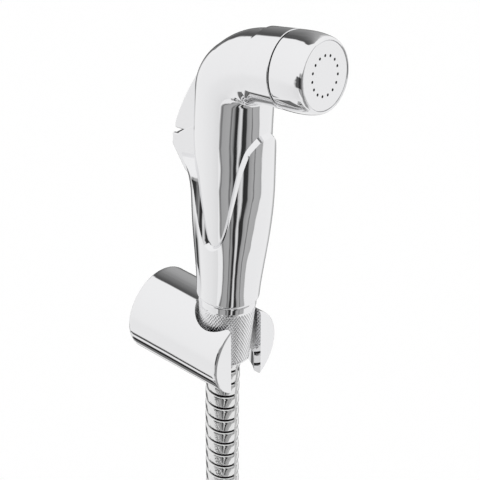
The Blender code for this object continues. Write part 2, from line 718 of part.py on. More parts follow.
def flow_diffuser():
    """A plastic disc whose slots spread the water behind the face."""
    outer = FACE_RADIUS - FACE_RIM - FACE_LEDGE - GAP
    top = -FACE_THICKNESS - FACE_SPACE
    profile = [(0.0, top - 0.0006), (outer - 0.0022, top - 0.0006), (outer - 0.0020, top), (outer, top),
               (outer, top - DIFFUSER_THICKNESS), (0.0, top - DIFFUSER_THICKNESS)]
    disc = turned("flow_diffuser", profile, PARTS, HEAD)
    mesh = bpy.data.meshes.new("diffuser_holes")
    shape = bmesh.new()
    for i in range(6):
        angle = math.pi * i / 3
        place = Matrix.Translation((0.4 * outer * math.cos(angle), 0.4 * outer * math.sin(angle), top))
        bmesh.ops.create_cone(shape, cap_ends=True, segments=12, radius1=0.12 * outer,
                              radius2=0.12 * outer, depth=4 * DIFFUSER_THICKNESS, matrix=place)
    shape.to_mesh(mesh)
    shape.free()
    holes = link(bpy.data.objects.new("diffuser_holes", mesh), CUTTERS, HEAD)
    return paint(shaped(disc, "DIFFERENCE", holes), "white_plastic")


def face_seal():
    top = -FACE_THICKNESS - FACE_SPACE - DIFFUSER_THICKNESS - GAP
    outer = min(SPIGOT_RADIUS, FACE_RADIUS - FACE_RIM - FACE_LEDGE) - GAP
    return paint(collar("face_seal", outer, outer - SEAL_WIDTH, -CAP_LENGTH + SPIGOT_LENGTH + GAP, top,
                        PARTS, HEAD), "black_rubber")


def head_insert():
    """The plastic bush that carries the water tube in the end of the neck."""
    outer = SPIGOT_RADIUS - SPIGOT_WALL - GAP
    socket = OUTLET_TUBE_RADIUS + GAP
    front = -CAP_LENGTH + SPIGOT_LENGTH - 0.001
    end = -CAP_LENGTH - 0.0005 + GAP
    bore = OUTLET_TUBE_RADIUS - TUBE_WALL
    profile = [(outer, front), (outer, front - INSERT_LENGTH), (socket, front - INSERT_LENGTH), (socket, end),
               (bore, end), (bore, front)]
    return paint(turned("head_insert", profile, PARTS, HEAD, closed=True), "white_plastic")


# Hose nut and the hose's upper end


def hose_nut():
    low = -NUT_LENGTH
    socket = THREAD_RADIUS + GAP
    neck = HOSE_RADIUS + 2 * GAP
    profile = [
        (NUT_TOP_RADIUS - 0.0004, -0.0004), (NUT_TOP_RADIUS, -0.0008), (NUT_TOP_RADIUS, -NUT_BAND),
        (NUT_LOW_RADIUS, low + NUT_CHAMFER), (NUT_LOW_RADIUS - NUT_CHAMFER, low), (neck, low),
        (neck, NUT_SHOULDER), (socket, NUT_SHOULDER), (socket, -0.0004),
    ]
    nut = turned("hose_nut", profile, PARTS, HANDSET, closed=True, steps=48)
    return paint(nut, "chrome")


def inlet_washer():
    low = -THREAD_LENGTH - GAP - 0.0018
    return paint(collar("inlet_washer", THREAD_RADIUS - GAP, WASHER_BORE, low, low + 0.0018, PARTS,
                        HANDSET), "black_rubber")


def hose_insert():
    """The flanged brass tail in the hose's upper end."""
    flange = NUT_SHOULDER + GAP
    outer = HOSE_RADIUS
    profile = [(THREAD_RADIUS - GAP, flange + 0.0016), (THREAD_RADIUS - GAP, flange),
               (outer, flange), (outer, HOSE_START + GAP), (0.0042, HOSE_START + GAP),
               (0.0042, flange + 0.0016)]
    return paint(turned("hose_insert", profile, PARTS, HANDSET, closed=True), "brass")


# Wall holder, built on a frame whose height runs out of the wall


def holder_body():
    recess = PLATE_RADIUS + GAP
    profile = [
        (0.0, HOLDER_LENGTH), (HOLDER_RADIUS - HOLDER_EDGE, HOLDER_LENGTH),
        (HOLDER_RADIUS - 0.3 * HOLDER_EDGE, HOLDER_LENGTH - 0.3 * HOLDER_EDGE),
        (HOLDER_RADIUS, HOLDER_LENGTH - HOLDER_EDGE), (HOLDER_RADIUS, HOLDER_EDGE),
        (HOLDER_RADIUS - 0.3 * HOLDER_EDGE, 0.3 * HOLDER_EDGE), (HOLDER_RADIUS - HOLDER_EDGE, 0.0),
        (recess, 0.0), (recess, PLATE_DEPTH + GAP), (0.6 * recess, PLATE_DEPTH + GAP),
        (0.6 * recess, BORE_FROM_WALL - BORE_RADIUS - 0.004), (0.0, BORE_FROM_WALL - BORE_RADIUS - 0.004),
    ]
    holder = turned("holder_body", profile, PARTS, HOLDER, steps=64)
    low = -HOLDER_RADIUS - 0.001
    taper_top, taper_foot = 0.44 * HOLDER_RADIUS, -0.38 * HOLDER_RADIUS
    bore_profile = [(0.0, -low), (BORE_RADIUS, -low), (BORE_RADIUS, taper_top),
                    (BORE_LOW_RADIUS, taper_foot), (BORE_LOW_RADIUS, low), (0.0, low)]
    bore = turned("holder_bore", bore_profile, CUTTERS, None, steps=48,
                  place=Matrix.Translation((0, -BORE_FROM_WALL, 0)))
    half = SLOT_WIDTH / 2
    slot = box("holder_slot", (-half, -HOLDER_LENGTH - 0.001, low), (half, -BORE_FROM_WALL, -low),
               CUTTERS, None)
    grub_hole = rod("grub_hole", GRUB_RADIUS + GAP, PLATE_RADIUS - 0.002, HOLDER_RADIUS + 0.001,
                    CUTTERS, None, place=GRUB_PLACE)
    return paint(shaped(holder, "DIFFERENCE", bore, slot, grub_hole), "chrome")


def wall_plate():
    """The disc that is screwed to the wall, inside the holder's open back."""
    plate = rod("wall_plate", PLATE_RADIUS, 0.0, PLATE_DEPTH, PARTS, HOLDER, steps=48)
    holes = []
    for i, side in enumerate((-1, 1)):
        place = Matrix.Translation((side * PLATE_SCREW_SPACING / 2, 0, 0))
        head = 2 * PLATE_SCREW_RADIUS
        profile = [(0.0, PLATE_DEPTH + 0.001), (head, PLATE_DEPTH + 0.001), (head, PLATE_DEPTH - 0.001),
                   (PLATE_SCREW_RADIUS, PLATE_DEPTH - 0.001 - PLATE_SCREW_RADIUS),
                   (PLATE_SCREW_RADIUS, -0.001), (0.0, -0.001)]
        holes.append(turned("plate_hole_" + str(i + 1), profile, CUTTERS, HOLDER, steps=20, place=place))
    dimple = rod("grub_dimple", GRUB_RADIUS + GAP, PLATE_RADIUS - 0.0015, PLATE_RADIUS + 0.001,
                 CUTTERS, None, place=GRUB_PLACE)
    return paint(shaped(plate, "DIFFERENCE", *holes, dimple), "steel")


def grub_screw():
    low, high = PLATE_RADIUS - 0.0015 + GAP, HOLDER_RADIUS - 0.0010
    screw = rod("grub_screw", GRUB_RADIUS, low, high, PARTS, None, place=GRUB_PLACE)
    socket = rod("grub_socket", 0.0011, high - 0.0016, high + 0.001, CUTTERS, None, steps=6,
                 place=GRUB_PLACE)
    return paint(shaped(screw, "DIFFERENCE", socket), "steel")


# Hose


def coil_centre():
    return Vector((HOSE_LINE.x - COIL_RADIUS, HOSE_LINE.y, COIL_CENTRE_HEIGHT))


def coil_profile(grow):
    """Section of the coil's outer shape, round its two layers side by side."""
    radius = HOSE_RADIUS + grow
    half = LAYER_STEP * (COIL_TURNS - 1) / 2
    profile = []
    for quarter in range(4):
        centre = half if quarter in (0, 3) else -half
        for i in range(3):
            angle = math.pi / 2 - quarter * math.pi / 2 - i * math.pi / 4
            profile.append((COIL_RADIUS + radius * math.cos(angle), centre + radius * math.sin(angle)))
    return profile


def coil_place():
    middle = coil_centre() - Vector((0, LAYER_STEP * (COIL_TURNS - 1) / 2, 0))
    return Matrix.Translation(middle) @ Matrix.Rotation(math.pi / 2, 4, "X")


def hose():
    """The hose from inside its nut down to the coil."""
    end = COIL_CENTRE_HEIGHT + 0.5 * COIL_RADIUS
    start = HANDSET_PLACE @ Vector((0, 0, HOSE_START))
    mouth = HANDSET_PLACE @ Vector((0, 0, -NUT_LENGTH))
    lower = HANDSET_PLACE @ Vector((0, 0, -NUT_LENGTH - 0.005))
    points = [start, mouth, lower]
    for i in range(1, 5):
        side = HOSE_LINE.x + (lower.x - HOSE_LINE.x) * math.exp(-1.17 * i)
        points.append(Vector((side, lower.y, lower.z - i * HOSE_DIAMETER)))
    points.append(Vector((HOSE_LINE.x, HOSE_LINE.y, end)))
    made = tube("hose", points, HOSE_RADIUS, PARTS, None)
    clear = turned("coil_clearance", coil_profile(GAP), CUTTERS, None, closed=True, steps=40,
                   place=coil_place())
    return paint(shaped(made, "DIFFERENCE", clear), "chrome")


def hose_coil():
    return paint(turned("hose_coil", coil_profile(0.0), PARTS, None, closed=True, steps=40,
                        place=coil_place()), "chrome")


def tail_layer():
    return HOSE_LINE.y - LAYER_STEP * COIL_TURNS - GAP


def hose_tail():
    """The last of the hose, in front of the coil and then straight down."""
    centre = coil_centre()
    points = []
    for i in range(6):
        angle = -TAIL_ARC * (1 - i / 6)
        points.append((centre.x + COIL_RADIUS * math.cos(angle), tail_layer(),
                       centre.z - COIL_RADIUS * math.sin(angle)))
    points.append((centre.x + COIL_RADIUS, tail_layer(), centre.z))
    points.append((centre.x + COIL_RADIUS, tail_layer(), centre.z - TAIL_LENGTH))
    return paint(tube("hose_tail", points, HOSE_RADIUS, PARTS, None), "chrome")


def hose_tie():
    """A strap round the coil's turns."""
    centre = coil_centre()
    wall, half_width = 0.0010, 0.005
    middle = centre.y - LAYER_STEP * (COIL_TURNS - 1) / 2
    across = LAYER_STEP * (COIL_TURNS - 1) / 2 + HOSE_RADIUS + 2 * GAP
    low = centre.z + COIL_RADIUS - HOSE_RADIUS - 3 * GAP
    high = centre.z + COIL_RADIUS + HOSE_RADIUS + 2 * GAP
    strap = box("hose_tie", (centre.x - half_width, middle - across - wall, low - wall),
                (centre.x + half_width, middle + across + wall, high + wall), PARTS, None)
    inside = box("tie_inside", (centre.x - 0.010, middle - across, low),
                 (centre.x + 0.010, middle + across, high), CUTTERS, None)
    return paint(shaped(strap, "DIFFERENCE", inside), "black_rubber")


# Hose end, built on a frame that points down along the hanging end


def end_insert():
    """The ferrule and the flanged tail that hold the swivel nut."""
    length = END_FERRULE_LENGTH
    outer = HOSE_RADIUS + 0.0010
    throat = END_THROAT - GAP
    profile = [(0.0, -GAP), (outer, -GAP), (outer, -length), (throat, -length),
               (throat, -length - 0.0042), (END_BORE - 0.0012, -length - 0.0042),
               (END_BORE - 0.0012, -length - 0.0058), (0.0040, -length - 0.0058),
               (0.0040, -length + 0.004), (0.0, -length + 0.004)]
    return paint(turned("end_insert", profile, PARTS, HOSE_END), "brass")


def end_nut():
    top = -END_FERRULE_LENGTH - GAP
    low = top - END_NUT_LENGTH
    corner = END_NUT_ACROSS_FLATS / 2 / math.cos(math.pi / 6)
    hexagon = rod("end_nut", corner, low, top, PARTS, HOSE_END, steps=6)
    rounding = [(0.0, top + 0.001), (END_NUT_ACROSS_FLATS / 2 - 0.001, top + 0.001),
                (END_NUT_ACROSS_FLATS / 2 - 0.0004, top), (corner + 0.001, top - 0.0014),
                (corner + 0.001, low + 0.0014), (END_NUT_ACROSS_FLATS / 2 - 0.0004, low),
                (END_NUT_ACROSS_FLATS / 2 - 0.001, low - 0.001), (0.0, low - 0.001)]
    rounded = turned("end_nut_rounding", rounding, CUTTERS, HOSE_END)
    throat = rod("end_nut_throat", END_THROAT, low, top + 0.001, CUTTERS, HOSE_END)
    bore = rod("end_nut_bore", END_BORE, low - 0.001, top - 0.0036, CUTTERS, HOSE_END, steps=TURN_STEPS)
    shaped(hexagon, "INTERSECT", rounded)
    return paint(shaped(hexagon, "DIFFERENCE", throat, bore), "chrome")


def end_washer():
    top = -END_FERRULE_LENGTH - 0.0058 - GAP
    return paint(collar("end_washer", END_BORE - 0.0010, 0.0045, top - 0.0020, top, PARTS,
                        HOSE_END), "black_rubber")


# Frames and the order of making

clear_scene()
PARTS = collection("handheld_bidet_shower")
CUTTERS = collection("cutters")

SPIGOT_RADIUS = min(NECK_RADIUS, FACE_RADIUS) - 0.0013
PIN_PLACE = Matrix.Translation(at(*LEVER_PIN)) @ Matrix.Rotation(math.pi / 2, 4, "Y")
BOSS_REACH = 0.0090
PIN_REACH = 0.0093
FORK_HEIGHT = LEVER_PIN[1] - FORK_DROP
HEEL_TOP = pressed_lip_height() - GAP
NUT_SHOULDER = -THREAD_LENGTH - 0.0018 - 0.0016 - 3 * GAP
HOSE_START = -0.75 * NUT_LENGTH
GRUB_PLACE = Matrix.Translation((0, -PLATE_DEPTH / 2, 0)) @ Matrix.Rotation(math.pi, 4, "X")
END_BORE = 0.0106
END_THROAT = 0.0066

SEAT = Vector((SEAT_SHIFT, -BORE_FROM_WALL, SEAT_HEIGHT))
HANDSET_TURNS = Matrix.Rotation(LEAN, 4, "Y") @ Matrix.Rotation(TURN, 4, "Z")
HANDSET_PLACE = Matrix.Translation(SEAT) @ HANDSET_TURNS
HOSE_LINE = Vector((SEAT_SHIFT - HOSE_SHIFT, -BORE_FROM_WALL, 0))

HANDSET = frame("handset_frame", SEAT, HANDSET_TURNS)
HEAD = frame("head_frame", at(*head_centre()), Matrix.Rotation(HEAD_TURN, 4, "X"), HANDSET)
HOLDER = frame("holder_frame", Vector(), Matrix.Rotation(math.pi / 2, 4, "X"))
HOSE_END = frame("hose_end_frame", Vector((HOSE_LINE.x, tail_layer(), COIL_CENTRE_HEIGHT - TAIL_LENGTH)),
                 Matrix())

for make in (
    holder_body, wall_plate, grub_screw, handset_body, inlet_stem, inlet_tube, valve_body, valve_cap,
    spindle_seal, valve_spindle, poppet_seal, valve_spring, outlet_tube, trigger_lever, lever_pin,
    spray_cap, spray_face, flow_diffuser, face_seal, head_insert, hose_nut, inlet_washer, hose_insert,
    hose, hose_coil, hose_tail, hose_tie, end_insert, end_nut, end_washer,
):
    make()
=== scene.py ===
"""The looks of the handheld bidet shower: chrome, its spiral hose and the studio round it."""

import json
import math

import bmesh
import bpy
import numpy as np
from mathutils import Matrix, Vector


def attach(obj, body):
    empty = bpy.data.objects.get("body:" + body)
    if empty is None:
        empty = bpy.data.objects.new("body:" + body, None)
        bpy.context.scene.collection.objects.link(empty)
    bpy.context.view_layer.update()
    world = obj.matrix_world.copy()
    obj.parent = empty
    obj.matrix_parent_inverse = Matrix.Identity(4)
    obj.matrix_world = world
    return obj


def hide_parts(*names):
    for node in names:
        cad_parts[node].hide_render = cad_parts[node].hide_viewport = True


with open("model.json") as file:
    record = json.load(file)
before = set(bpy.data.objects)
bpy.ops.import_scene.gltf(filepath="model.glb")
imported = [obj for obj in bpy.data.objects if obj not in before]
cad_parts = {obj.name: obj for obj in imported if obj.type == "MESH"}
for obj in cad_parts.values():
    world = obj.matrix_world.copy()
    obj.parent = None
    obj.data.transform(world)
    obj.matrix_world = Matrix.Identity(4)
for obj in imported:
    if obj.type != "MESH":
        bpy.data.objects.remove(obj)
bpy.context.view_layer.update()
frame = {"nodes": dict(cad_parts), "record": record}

# Sizes in metres, as the solids have them
GAP = 0.0003
SEAT = Vector((0.00129, -0.0381, 0.0242))
LEAN = math.radians(5.0)
TURN = math.radians(2.0)

HOSE_RADIUS = 0.0070
COIL_RADIUS = 0.081
COIL_HEIGHT = -0.150
COIL_TURNS = 2
LAYER = 0.0143
TAIL_LENGTH = 0.035
HOSE_X = SEAT.x - 0.00405
TAIL_Y = SEAT.y - COIL_TURNS * LAYER - GAP

NUT_LENGTH = 0.0298
NUT_TOP_RADIUS = 0.0117
NUT_LOW_RADIUS = 0.0104
NUT_BAND = 0.0035
THREAD_RADIUS = 0.0108

HOLDER_RADIUS = 0.01835
HOLDER_LENGTH = 0.049
BORE_FROM_WALL = 0.0381
BORE_RADIUS = 0.0126
BORE_LOW_RADIUS = 0.01165
SLOT_HALF = 0.00905
PLATE_RECESS = 0.01565
PLATE_DEPTH = 0.009

GRIP_FOOT_RADIUS = 0.0127
GRIP_RADIUS = 0.0164
GRIP_HEIGHT = 0.0773
NECK_RADIUS = 0.0154
NECK_FOOT = 0.0183
NECK_STRAIGHT = 0.0136
WALL = 0.002
BEND_HEIGHT = 0.0901
INNER_BEND = 0.0008
BEND_FLATTEN = 0.070
HEAD_TILT = math.radians(10.1)
HEAD_TURN = math.pi / 2 - HEAD_TILT
CAP_LENGTH = 0.0154
CAP_BULGE = 0.0006
FACE_RADIUS = 0.01415
FACE_RIM = 0.0008
SPIGOT_RADIUS = 0.01285
HOLE_COUNT = 15
HOLE_RING_RADIUS = 0.0077
LEAF_TIP = (-0.0266, 0.0611)
LEVER_PIN = (-0.0130, 0.0938)
PIN_BORE = 0.00158
LEVER_TOP = 0.0065
LEVER_HALF = 0.0059
LEVER_PLAY = 0.0006

# Sizes that follow the photo more closely than the solids do, or that only the looks have
HOSE_PITCH = 0.0062
GROOVE = 0.0015
RIM_WIDTH = 0.0016
HOLE_RADIUS = 0.00058
HOLE_PHASE = 0.5
LEVER_TIP = (-0.0272, 0.0687)
HEEL_TOP = 0.0652
CHEEK = 0.0018
KNURL_STARTS = 60
KNURL_PITCH = 0.00185
KNURL_DEPTH = 0.00024
HOLDER_EDGE = 0.0012
HOLDER_BEVEL = 0.0009

HANDSET = Matrix.Translation(SEAT) @ Matrix.Rotation(LEAN, 4, "Y") @ Matrix.Rotation(TURN, 4, "Z")


def at(forward, height, side=0.0):
    """A point of the handset, in the shared frame."""
    return HANDSET @ Vector((side, -forward, height))


# Camera

# The lens in millimetres, where the camera stands in metres, and its axes, as fitted to the photo
CAMERA_LENS = 155.556
CAMERA_PLACE = (-0.502892, -0.494563, 0.513104)
CAMERA_RIGHT = (0.66585, -0.74608, 0.0)
CAMERA_UP = (0.41987, 0.37472, 0.82662)
CAMERA_BACK = (-0.61673, -0.55041, 0.56276)


def camera():
    """The photo's viewpoint."""
    data = bpy.data.cameras.new("photo_camera")
    data.lens = CAMERA_LENS
    data.sensor_width = 36.0
    data.clip_start, data.clip_end = 0.01, 20.0
    cam = bpy.data.objects.new("photo_camera", data)
    bpy.context.scene.collection.objects.link(cam)
    turn = Matrix((CAMERA_RIGHT, CAMERA_UP, CAMERA_BACK)).transposed().to_4x4()
    cam.matrix_world = Matrix.Translation(CAMERA_PLACE) @ turn
    bpy.context.scene.camera = cam


# Mesh helpers

# Points of a seam nearer than this become one, and a turned profile starts this far from its axis
WELD = 0.000003
AXIS = 0.00001


def new_object(name, mesh):
    """An object of a mesh, linked into the scene."""
    obj = bpy.data.objects.new(name, mesh)
    bpy.context.scene.collection.objects.link(obj)
    return obj


def outward(mesh, *others, weld=False):
    """The mesh with any others added, its seams welded where asked and its faces turned outwards."""
    shape = bmesh.new()
    for part in (mesh, *others):
        shape.from_mesh(part)
    if weld:
        bmesh.ops.remove_doubles(shape, verts=shape.verts, dist=WELD)
    bmesh.ops.recalc_face_normals(shape, faces=shape.faces)
    shape.to_mesh(mesh)
    shape.free()
    return mesh


def grid_mesh(name, rows, closed_rows=False, caps=(False, False)):
    """A smooth mesh through rows of points. Each row is a closed ring."""
    count = len(rows[0])
    verts = [tuple(p) for row in rows for p in row]
    faces = []
    last = len(rows) if closed_rows else len(rows) - 1
    for r in range(last):
        a, b = r * count, ((r + 1) % len(rows)) * count
        for i in range(count):
            j = (i + 1) % count
            faces.append((a + i, a + j, b + j, b + i))
    if caps[0]:
        faces.append(tuple(range(count))[::-1])
    if caps[1]:
        faces.append(tuple(range((len(rows) - 1) * count, len(rows) * count)))
    mesh = bpy.data.meshes.new(name)
    mesh.from_pydata(verts, [], faces)
    outward(mesh).shade_smooth()
    return mesh


def closed_form(name, rows):
    """A solid with a skin through rows of points and a cap at each end."""
    return new_object(name, grid_mesh(name, rows, caps=(True, True)))


def turned_rows(profile, steps, place):
    """Rings of a profile of (radius, height) turned about the Z axis of a matrix."""
    rows = []
    for radius, height in profile:
        rows.append([place @ Vector((radius * math.cos(2 * math.pi * i / steps),
                                     radius * math.sin(2 * math.pi * i / steps), height))
                     for i in range(steps)])
    return rows


def finish_mesh(obj, angle):
    """Smooth shading, with edges kept sharp past an angle in degrees."""
    obj.data.shade_smooth()
    obj.data.set_sharp_from_angle(angle=math.radians(angle))
    return obj


def dress(obj, *looks):
    """Gives an object these materials and no others."""
    obj.data.materials.clear()
    for look in looks:
        obj.data.materials.append(look)


def node_tree(name, **inputs):
    """A new tree of geometry nodes with named inputs, and its sockets."""
    tree = bpy.data.node_groups.new(name, "GeometryNodeTree")
    tree.interface.new_socket("Mesh", in_out="OUTPUT", socket_type="NodeSocketGeometry")
    for label, kind in inputs.items():
        tree.interface.new_socket(label, in_out="INPUT", socket_type="NodeSocket" + kind)
    given = tree.nodes.new("NodeGroupInput").outputs
    return tree, given, tree.nodes.new("NodeGroupOutput").inputs["Mesh"]


def linked(tree, kind, **inputs):
    """A node of a tree with its inputs set or linked, by socket name."""
    node = tree.nodes.new(kind)
    for label, value in inputs.items():
        socket = node.inputs[label.replace("_", " ")]
        if isinstance(value, bpy.types.NodeSocket):
            tree.links.new(value, socket)
        else:
            socket.default_value = value
    return node


def grown(name, tree, place, **values):
    """A plain mesh object of what a tree makes, set in its place."""
    obj = new_object(name, bpy.data.meshes.new(name))
    growth = obj.modifiers.new("growth", "NODES")
    growth.node_group = tree
    for item in tree.interface.items_tree:
        if item.in_out == "INPUT":
            growth[item.identifier] = values[item.name]
    applied(obj)
    obj.data.transform(place)
    return obj


# Hose

# How the leaning hose settles into the vertical, the height from which it hangs straight, and the points
# of its route in one turn of the coil
SETTLE_DROPS = (0.014, 0.026, 0.040)
SETTLE_REACH = 0.012
HANG_FROM = -0.075
COIL_STEPS = 48


def smooth_step(t):
    """A soft rise from 0 to 1."""
    t = min(max(t, 0.0), 1.0)
    return t * t * (3 - 2 * t)


def hose_route():
    """The hose's centreline: out of its nut, down, twice round the coil and down again."""
    start = at(0, -0.75 * NUT_LENGTH)
    mouth, lower = at(0, -NUT_LENGTH), at(0, -NUT_LENGTH - 0.005)
    knots = [start, mouth, lower]
    for drop in SETTLE_DROPS:
        share = 1 - math.exp(-drop / SETTLE_REACH)
        knots.append(Vector((lower.x + (HOSE_X - lower.x) * share, lower.y, lower.z - drop)))
    knots.append(Vector((HOSE_X, SEAT.y, HANG_FROM)))
    centre = Vector((HOSE_X - COIL_RADIUS, SEAT.y, COIL_HEIGHT))
    for i in range(1, 5):
        knots.append(Vector((HOSE_X, SEAT.y, HANG_FROM + (COIL_HEIGHT - HANG_FROM) * i / 5)))
    for i in range(COIL_TURNS * COIL_STEPS + 1):
        angle = 2 * math.pi * i / COIL_STEPS
        whole, part = divmod(i / COIL_STEPS, 1.0)
        over = smooth_step((part - 0.78) / 0.22)
        y = SEAT.y - LAYER * (whole + over)
        if i > (COIL_TURNS - 1) * COIL_STEPS:
            y = SEAT.y - LAYER * whole + (TAIL_Y - SEAT.y + LAYER * whole) * over
        if i == COIL_TURNS * COIL_STEPS:
            y = TAIL_Y
        knots.append(Vector((centre.x + COIL_RADIUS * math.cos(angle), y,
                             centre.z - COIL_RADIUS * math.sin(angle))))
    for i in range(1, 5):
        knots.append(Vector((HOSE_X, TAIL_Y, COIL_HEIGHT - TAIL_LENGTH * i / 4)))
    return even_points(knots, HOSE_PITCH / 9)


def even_points(knots, step):
    """Points at even steps along the smooth curve through the knots."""
    fine = []
    padded = [knots[0] * 2 - knots[1]] + knots + [knots[-1] * 2 - knots[-2]]
    for k in range(1, len(padded) - 2):
        p0, p1, p2, p3 = padded[k - 1 : k + 3]
        for i in range(12):
            t = i / 12
            fine.append(0.5 * (2 * p1 + (p2 - p0) * t + (2 * p0 - 5 * p1 + 4 * p2 - p3) * t * t
                               + (3 * p1 - p0 - 3 * p2 + p3) * t * t * t))
    fine.append(knots[-1])
    fine = np.array(fine)
    run = np.concatenate([[0], np.cumsum(np.linalg.norm(np.diff(fine, axis=0), axis=1))])
    count = int(run[-1] / step)
    marks = np.linspace(0, run[-1], count + 1)
    return np.stack([np.interp(marks, run, fine[:, k]) for k in range(3)], 1), run[-1]


# Cross-section of the wound strip: (share of the pitch, share of the groove's depth)
STRIP = [(0.0, 0.0), (0.045, 0.05), (0.075, 0.55), (0.105, 0.82), (0.17, 0.93), (0.30, 0.98), (0.50, 1.0),
         (0.70, 0.98), (0.83, 0.93), (0.895, 0.82), (0.925, 0.55), (0.955, 0.05)]


def hose():
    """A tube whose rows follow the winding of its strip, so that the groove stays sharp."""
    points, length = hose_route()
    sides = 28
    tangents = np.gradient(points, axis=0)
    tangents /= np.linalg.norm(tangents, axis=1)[:, None]
    normals = [np.array([0.0, -1.0, 0.0])]
    for tangent in tangents:
        normal = normals[-1] - tangent * normals[-1].dot(tangent)
        normals.append(normal / np.linalg.norm(normal))
    normals = np.array(normals[1:])
    sideways = np.cross(tangents, normals)
    marks = np.linspace(0.0, length, len(points))
    verts = []
    turns = int(length / HOSE_PITCH) + 2
    rows = [(k + share) * HOSE_PITCH for k in range(turns) for share, _ in STRIP]
    depths = [depth for _ in range(turns) for _, depth in STRIP]
    for where, depth in zip(rows, depths):
        radius = HOSE_RADIUS - GROOVE + GROOVE * depth
        for i in range(sides):
            angle = 2 * math.pi * i / sides
            place = min(max(where - HOSE_PITCH * i / sides, 0.0), length)
            parts = [[np.interp(place, marks, line[:, k]) for k in range(3)]
                     for line in (points, normals, sideways)]
            middle, normal, side = (Vector(part) for part in parts)
            verts.append(middle + radius * (math.cos(angle) * normal + math.sin(angle) * side))
    faces = []
    step = len(STRIP)
    for r in range(len(rows) - 1):
        for i in range(sides - 1):
            a = r * sides + i
            faces.append((a, a + 1, a + sides + 1, a + sides))
        if r + step + 1 < len(rows):
            a, b = r * sides + sides - 1, (r + step) * sides
            faces.append((a, b, b + sides, a + sides))
    mesh = bpy.data.meshes.new("spiral_hose")
    mesh.from_pydata([tuple(v) for v in verts], [], faces)
    # Each point's share of the groove's depth, which the material turns into painted shade in the seams
    depth_layer = mesh.attributes.new("depth", "FLOAT", "POINT")
    depth_layer.data.foreach_set("value", [depth for depth in depths for _ in range(sides)])
    obj = finish_mesh(new_object("spiral_hose", outward(mesh)), 50)
    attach(obj, "shower")
    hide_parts("hose", "hose_coil", "hose_tail")
    dress(obj, hose_steel())
    print("hose length", round(length, 4))


# Handset body, on the same curves as its CAD solid


def neck_shift(height):
    """How far the neck's centre stands forward at a height; back is negative."""
    share = min(max(height / BEND_HEIGHT, 0.0), 1.0)
    return -0.0030 * math.sin(share * math.pi / 2) ** 2


def grip_size(height):
    """The grip's radius at a height."""
    share = min(height / GRIP_HEIGHT, 1.0)
    swell = math.sin(min(share / 0.64, 1.0) * math.pi / 2)
    fall = max(share - 0.66, 0.0) / 0.34
    size = GRIP_FOOT_RADIUS + (GRIP_RADIUS - GRIP_FOOT_RADIUS) * swell**1.5
    return size - (GRIP_RADIUS - NECK_RADIUS) * 0.55 * fall


def leaf_flare(height):
    """How far the grip's back swells out towards its leaf tip."""
    start = 0.62 * LEAF_TIP[1]
    share = min(max(height - start, 0.0) / (LEAF_TIP[1] - start), 1.0)
    reach = -LEAF_TIP[0] + 0.5 * neck_shift(LEAF_TIP[1]) - grip_size(LEAF_TIP[1])
    return reach * share**3.2


def neck_size(height):
    """The neck's radius at a height. It lies a little deeper in the grip's hollows."""
    share = min(max((height - NECK_FOOT) / (0.5 * BEND_HEIGHT), 0.0), 1.0)
    low = grip_size(NECK_FOOT) - 0.0006
    sunk = 0.0009 * smooth_step((0.074 - height) / 0.02)
    return low + (NECK_RADIUS - low) * math.sin(share * math.pi / 2) - sunk


def head_axis(distance):
    """A (forward, height) point of the head's axis, by its distance from the bend."""
    out = NECK_RADIUS + INNER_BEND
    forward = neck_shift(BEND_HEIGHT) + out * (1 - math.cos(HEAD_TURN))
    height = BEND_HEIGHT + out * math.sin(HEAD_TURN)
    return forward + distance * math.cos(HEAD_TILT), height + distance * math.sin(HEAD_TILT)


def section(forward, height, lean, reach, half_width, count):
    """A ring of points about the handset's curve."""
    points = []
    for i in range(count):
        angle = 2 * math.pi * i / count
        out = reach * math.cos(angle)
        points.append(at(forward + out * math.cos(lean), height - out * math.sin(lean),
                         half_width * math.sin(angle)))
    return points


def bend_reach(share):
    """The neck's half depth along the bend, where it is slightly flattened."""
    inwards = math.sin(0.68 * math.pi * share) - 0.3 * max(0.0, math.sin(2 * math.pi * share))
    return NECK_RADIUS * (1 - BEND_FLATTEN * inwards)


def neck_rows(shrink, start, count, ends):
    """Sections up the neck, round the bend and along the head."""
    rows = []
    for i in range(60):
        height = start + (BEND_HEIGHT - start) * i / 60
        size = neck_size(height) - shrink
        rows.append(section(neck_shift(height), height, 0.0, size, size, count))
    pivot = neck_shift(BEND_HEIGHT) + NECK_RADIUS + INNER_BEND
    for i in range(41):
        lean = HEAD_TURN * i / 40
        reach = bend_reach(i / 40)
        out = reach + INNER_BEND
        rows.append(section(pivot - out * math.cos(lean), BEND_HEIGHT + out * math.sin(lean), lean,
                            reach - shrink, NECK_RADIUS - shrink, count))
    for distance, size in ends:
        share = min(distance / NECK_STRAIGHT, 1.0)
        reach = size - (NECK_RADIUS - bend_reach(1.0)) * (1 - share)
        rows.append(section(*head_axis(distance), HEAD_TURN, reach, size, count))
    return rows


def neck_form():
    """The neck, bend and head as one solid, with a spigot for the spray ring."""
    edge = [(NECK_STRAIGHT * k / 8, NECK_RADIUS) for k in range(1, 8)]
    edge += [(NECK_STRAIGHT - 0.0004 + 0.0004 * math.sin(k * math.pi / 8),
              NECK_RADIUS - 0.0004 + 0.0004 * math.cos(k * math.pi / 8)) for k in range(5)]
    edge += [(NECK_STRAIGHT, SPIGOT_RADIUS + 0.0005), (NECK_STRAIGHT, SPIGOT_RADIUS),
             (NECK_STRAIGHT + 0.0066, SPIGOT_RADIUS)]
    return closed_form("neck_form", neck_rows(0.0, NECK_FOOT, 144, edge))


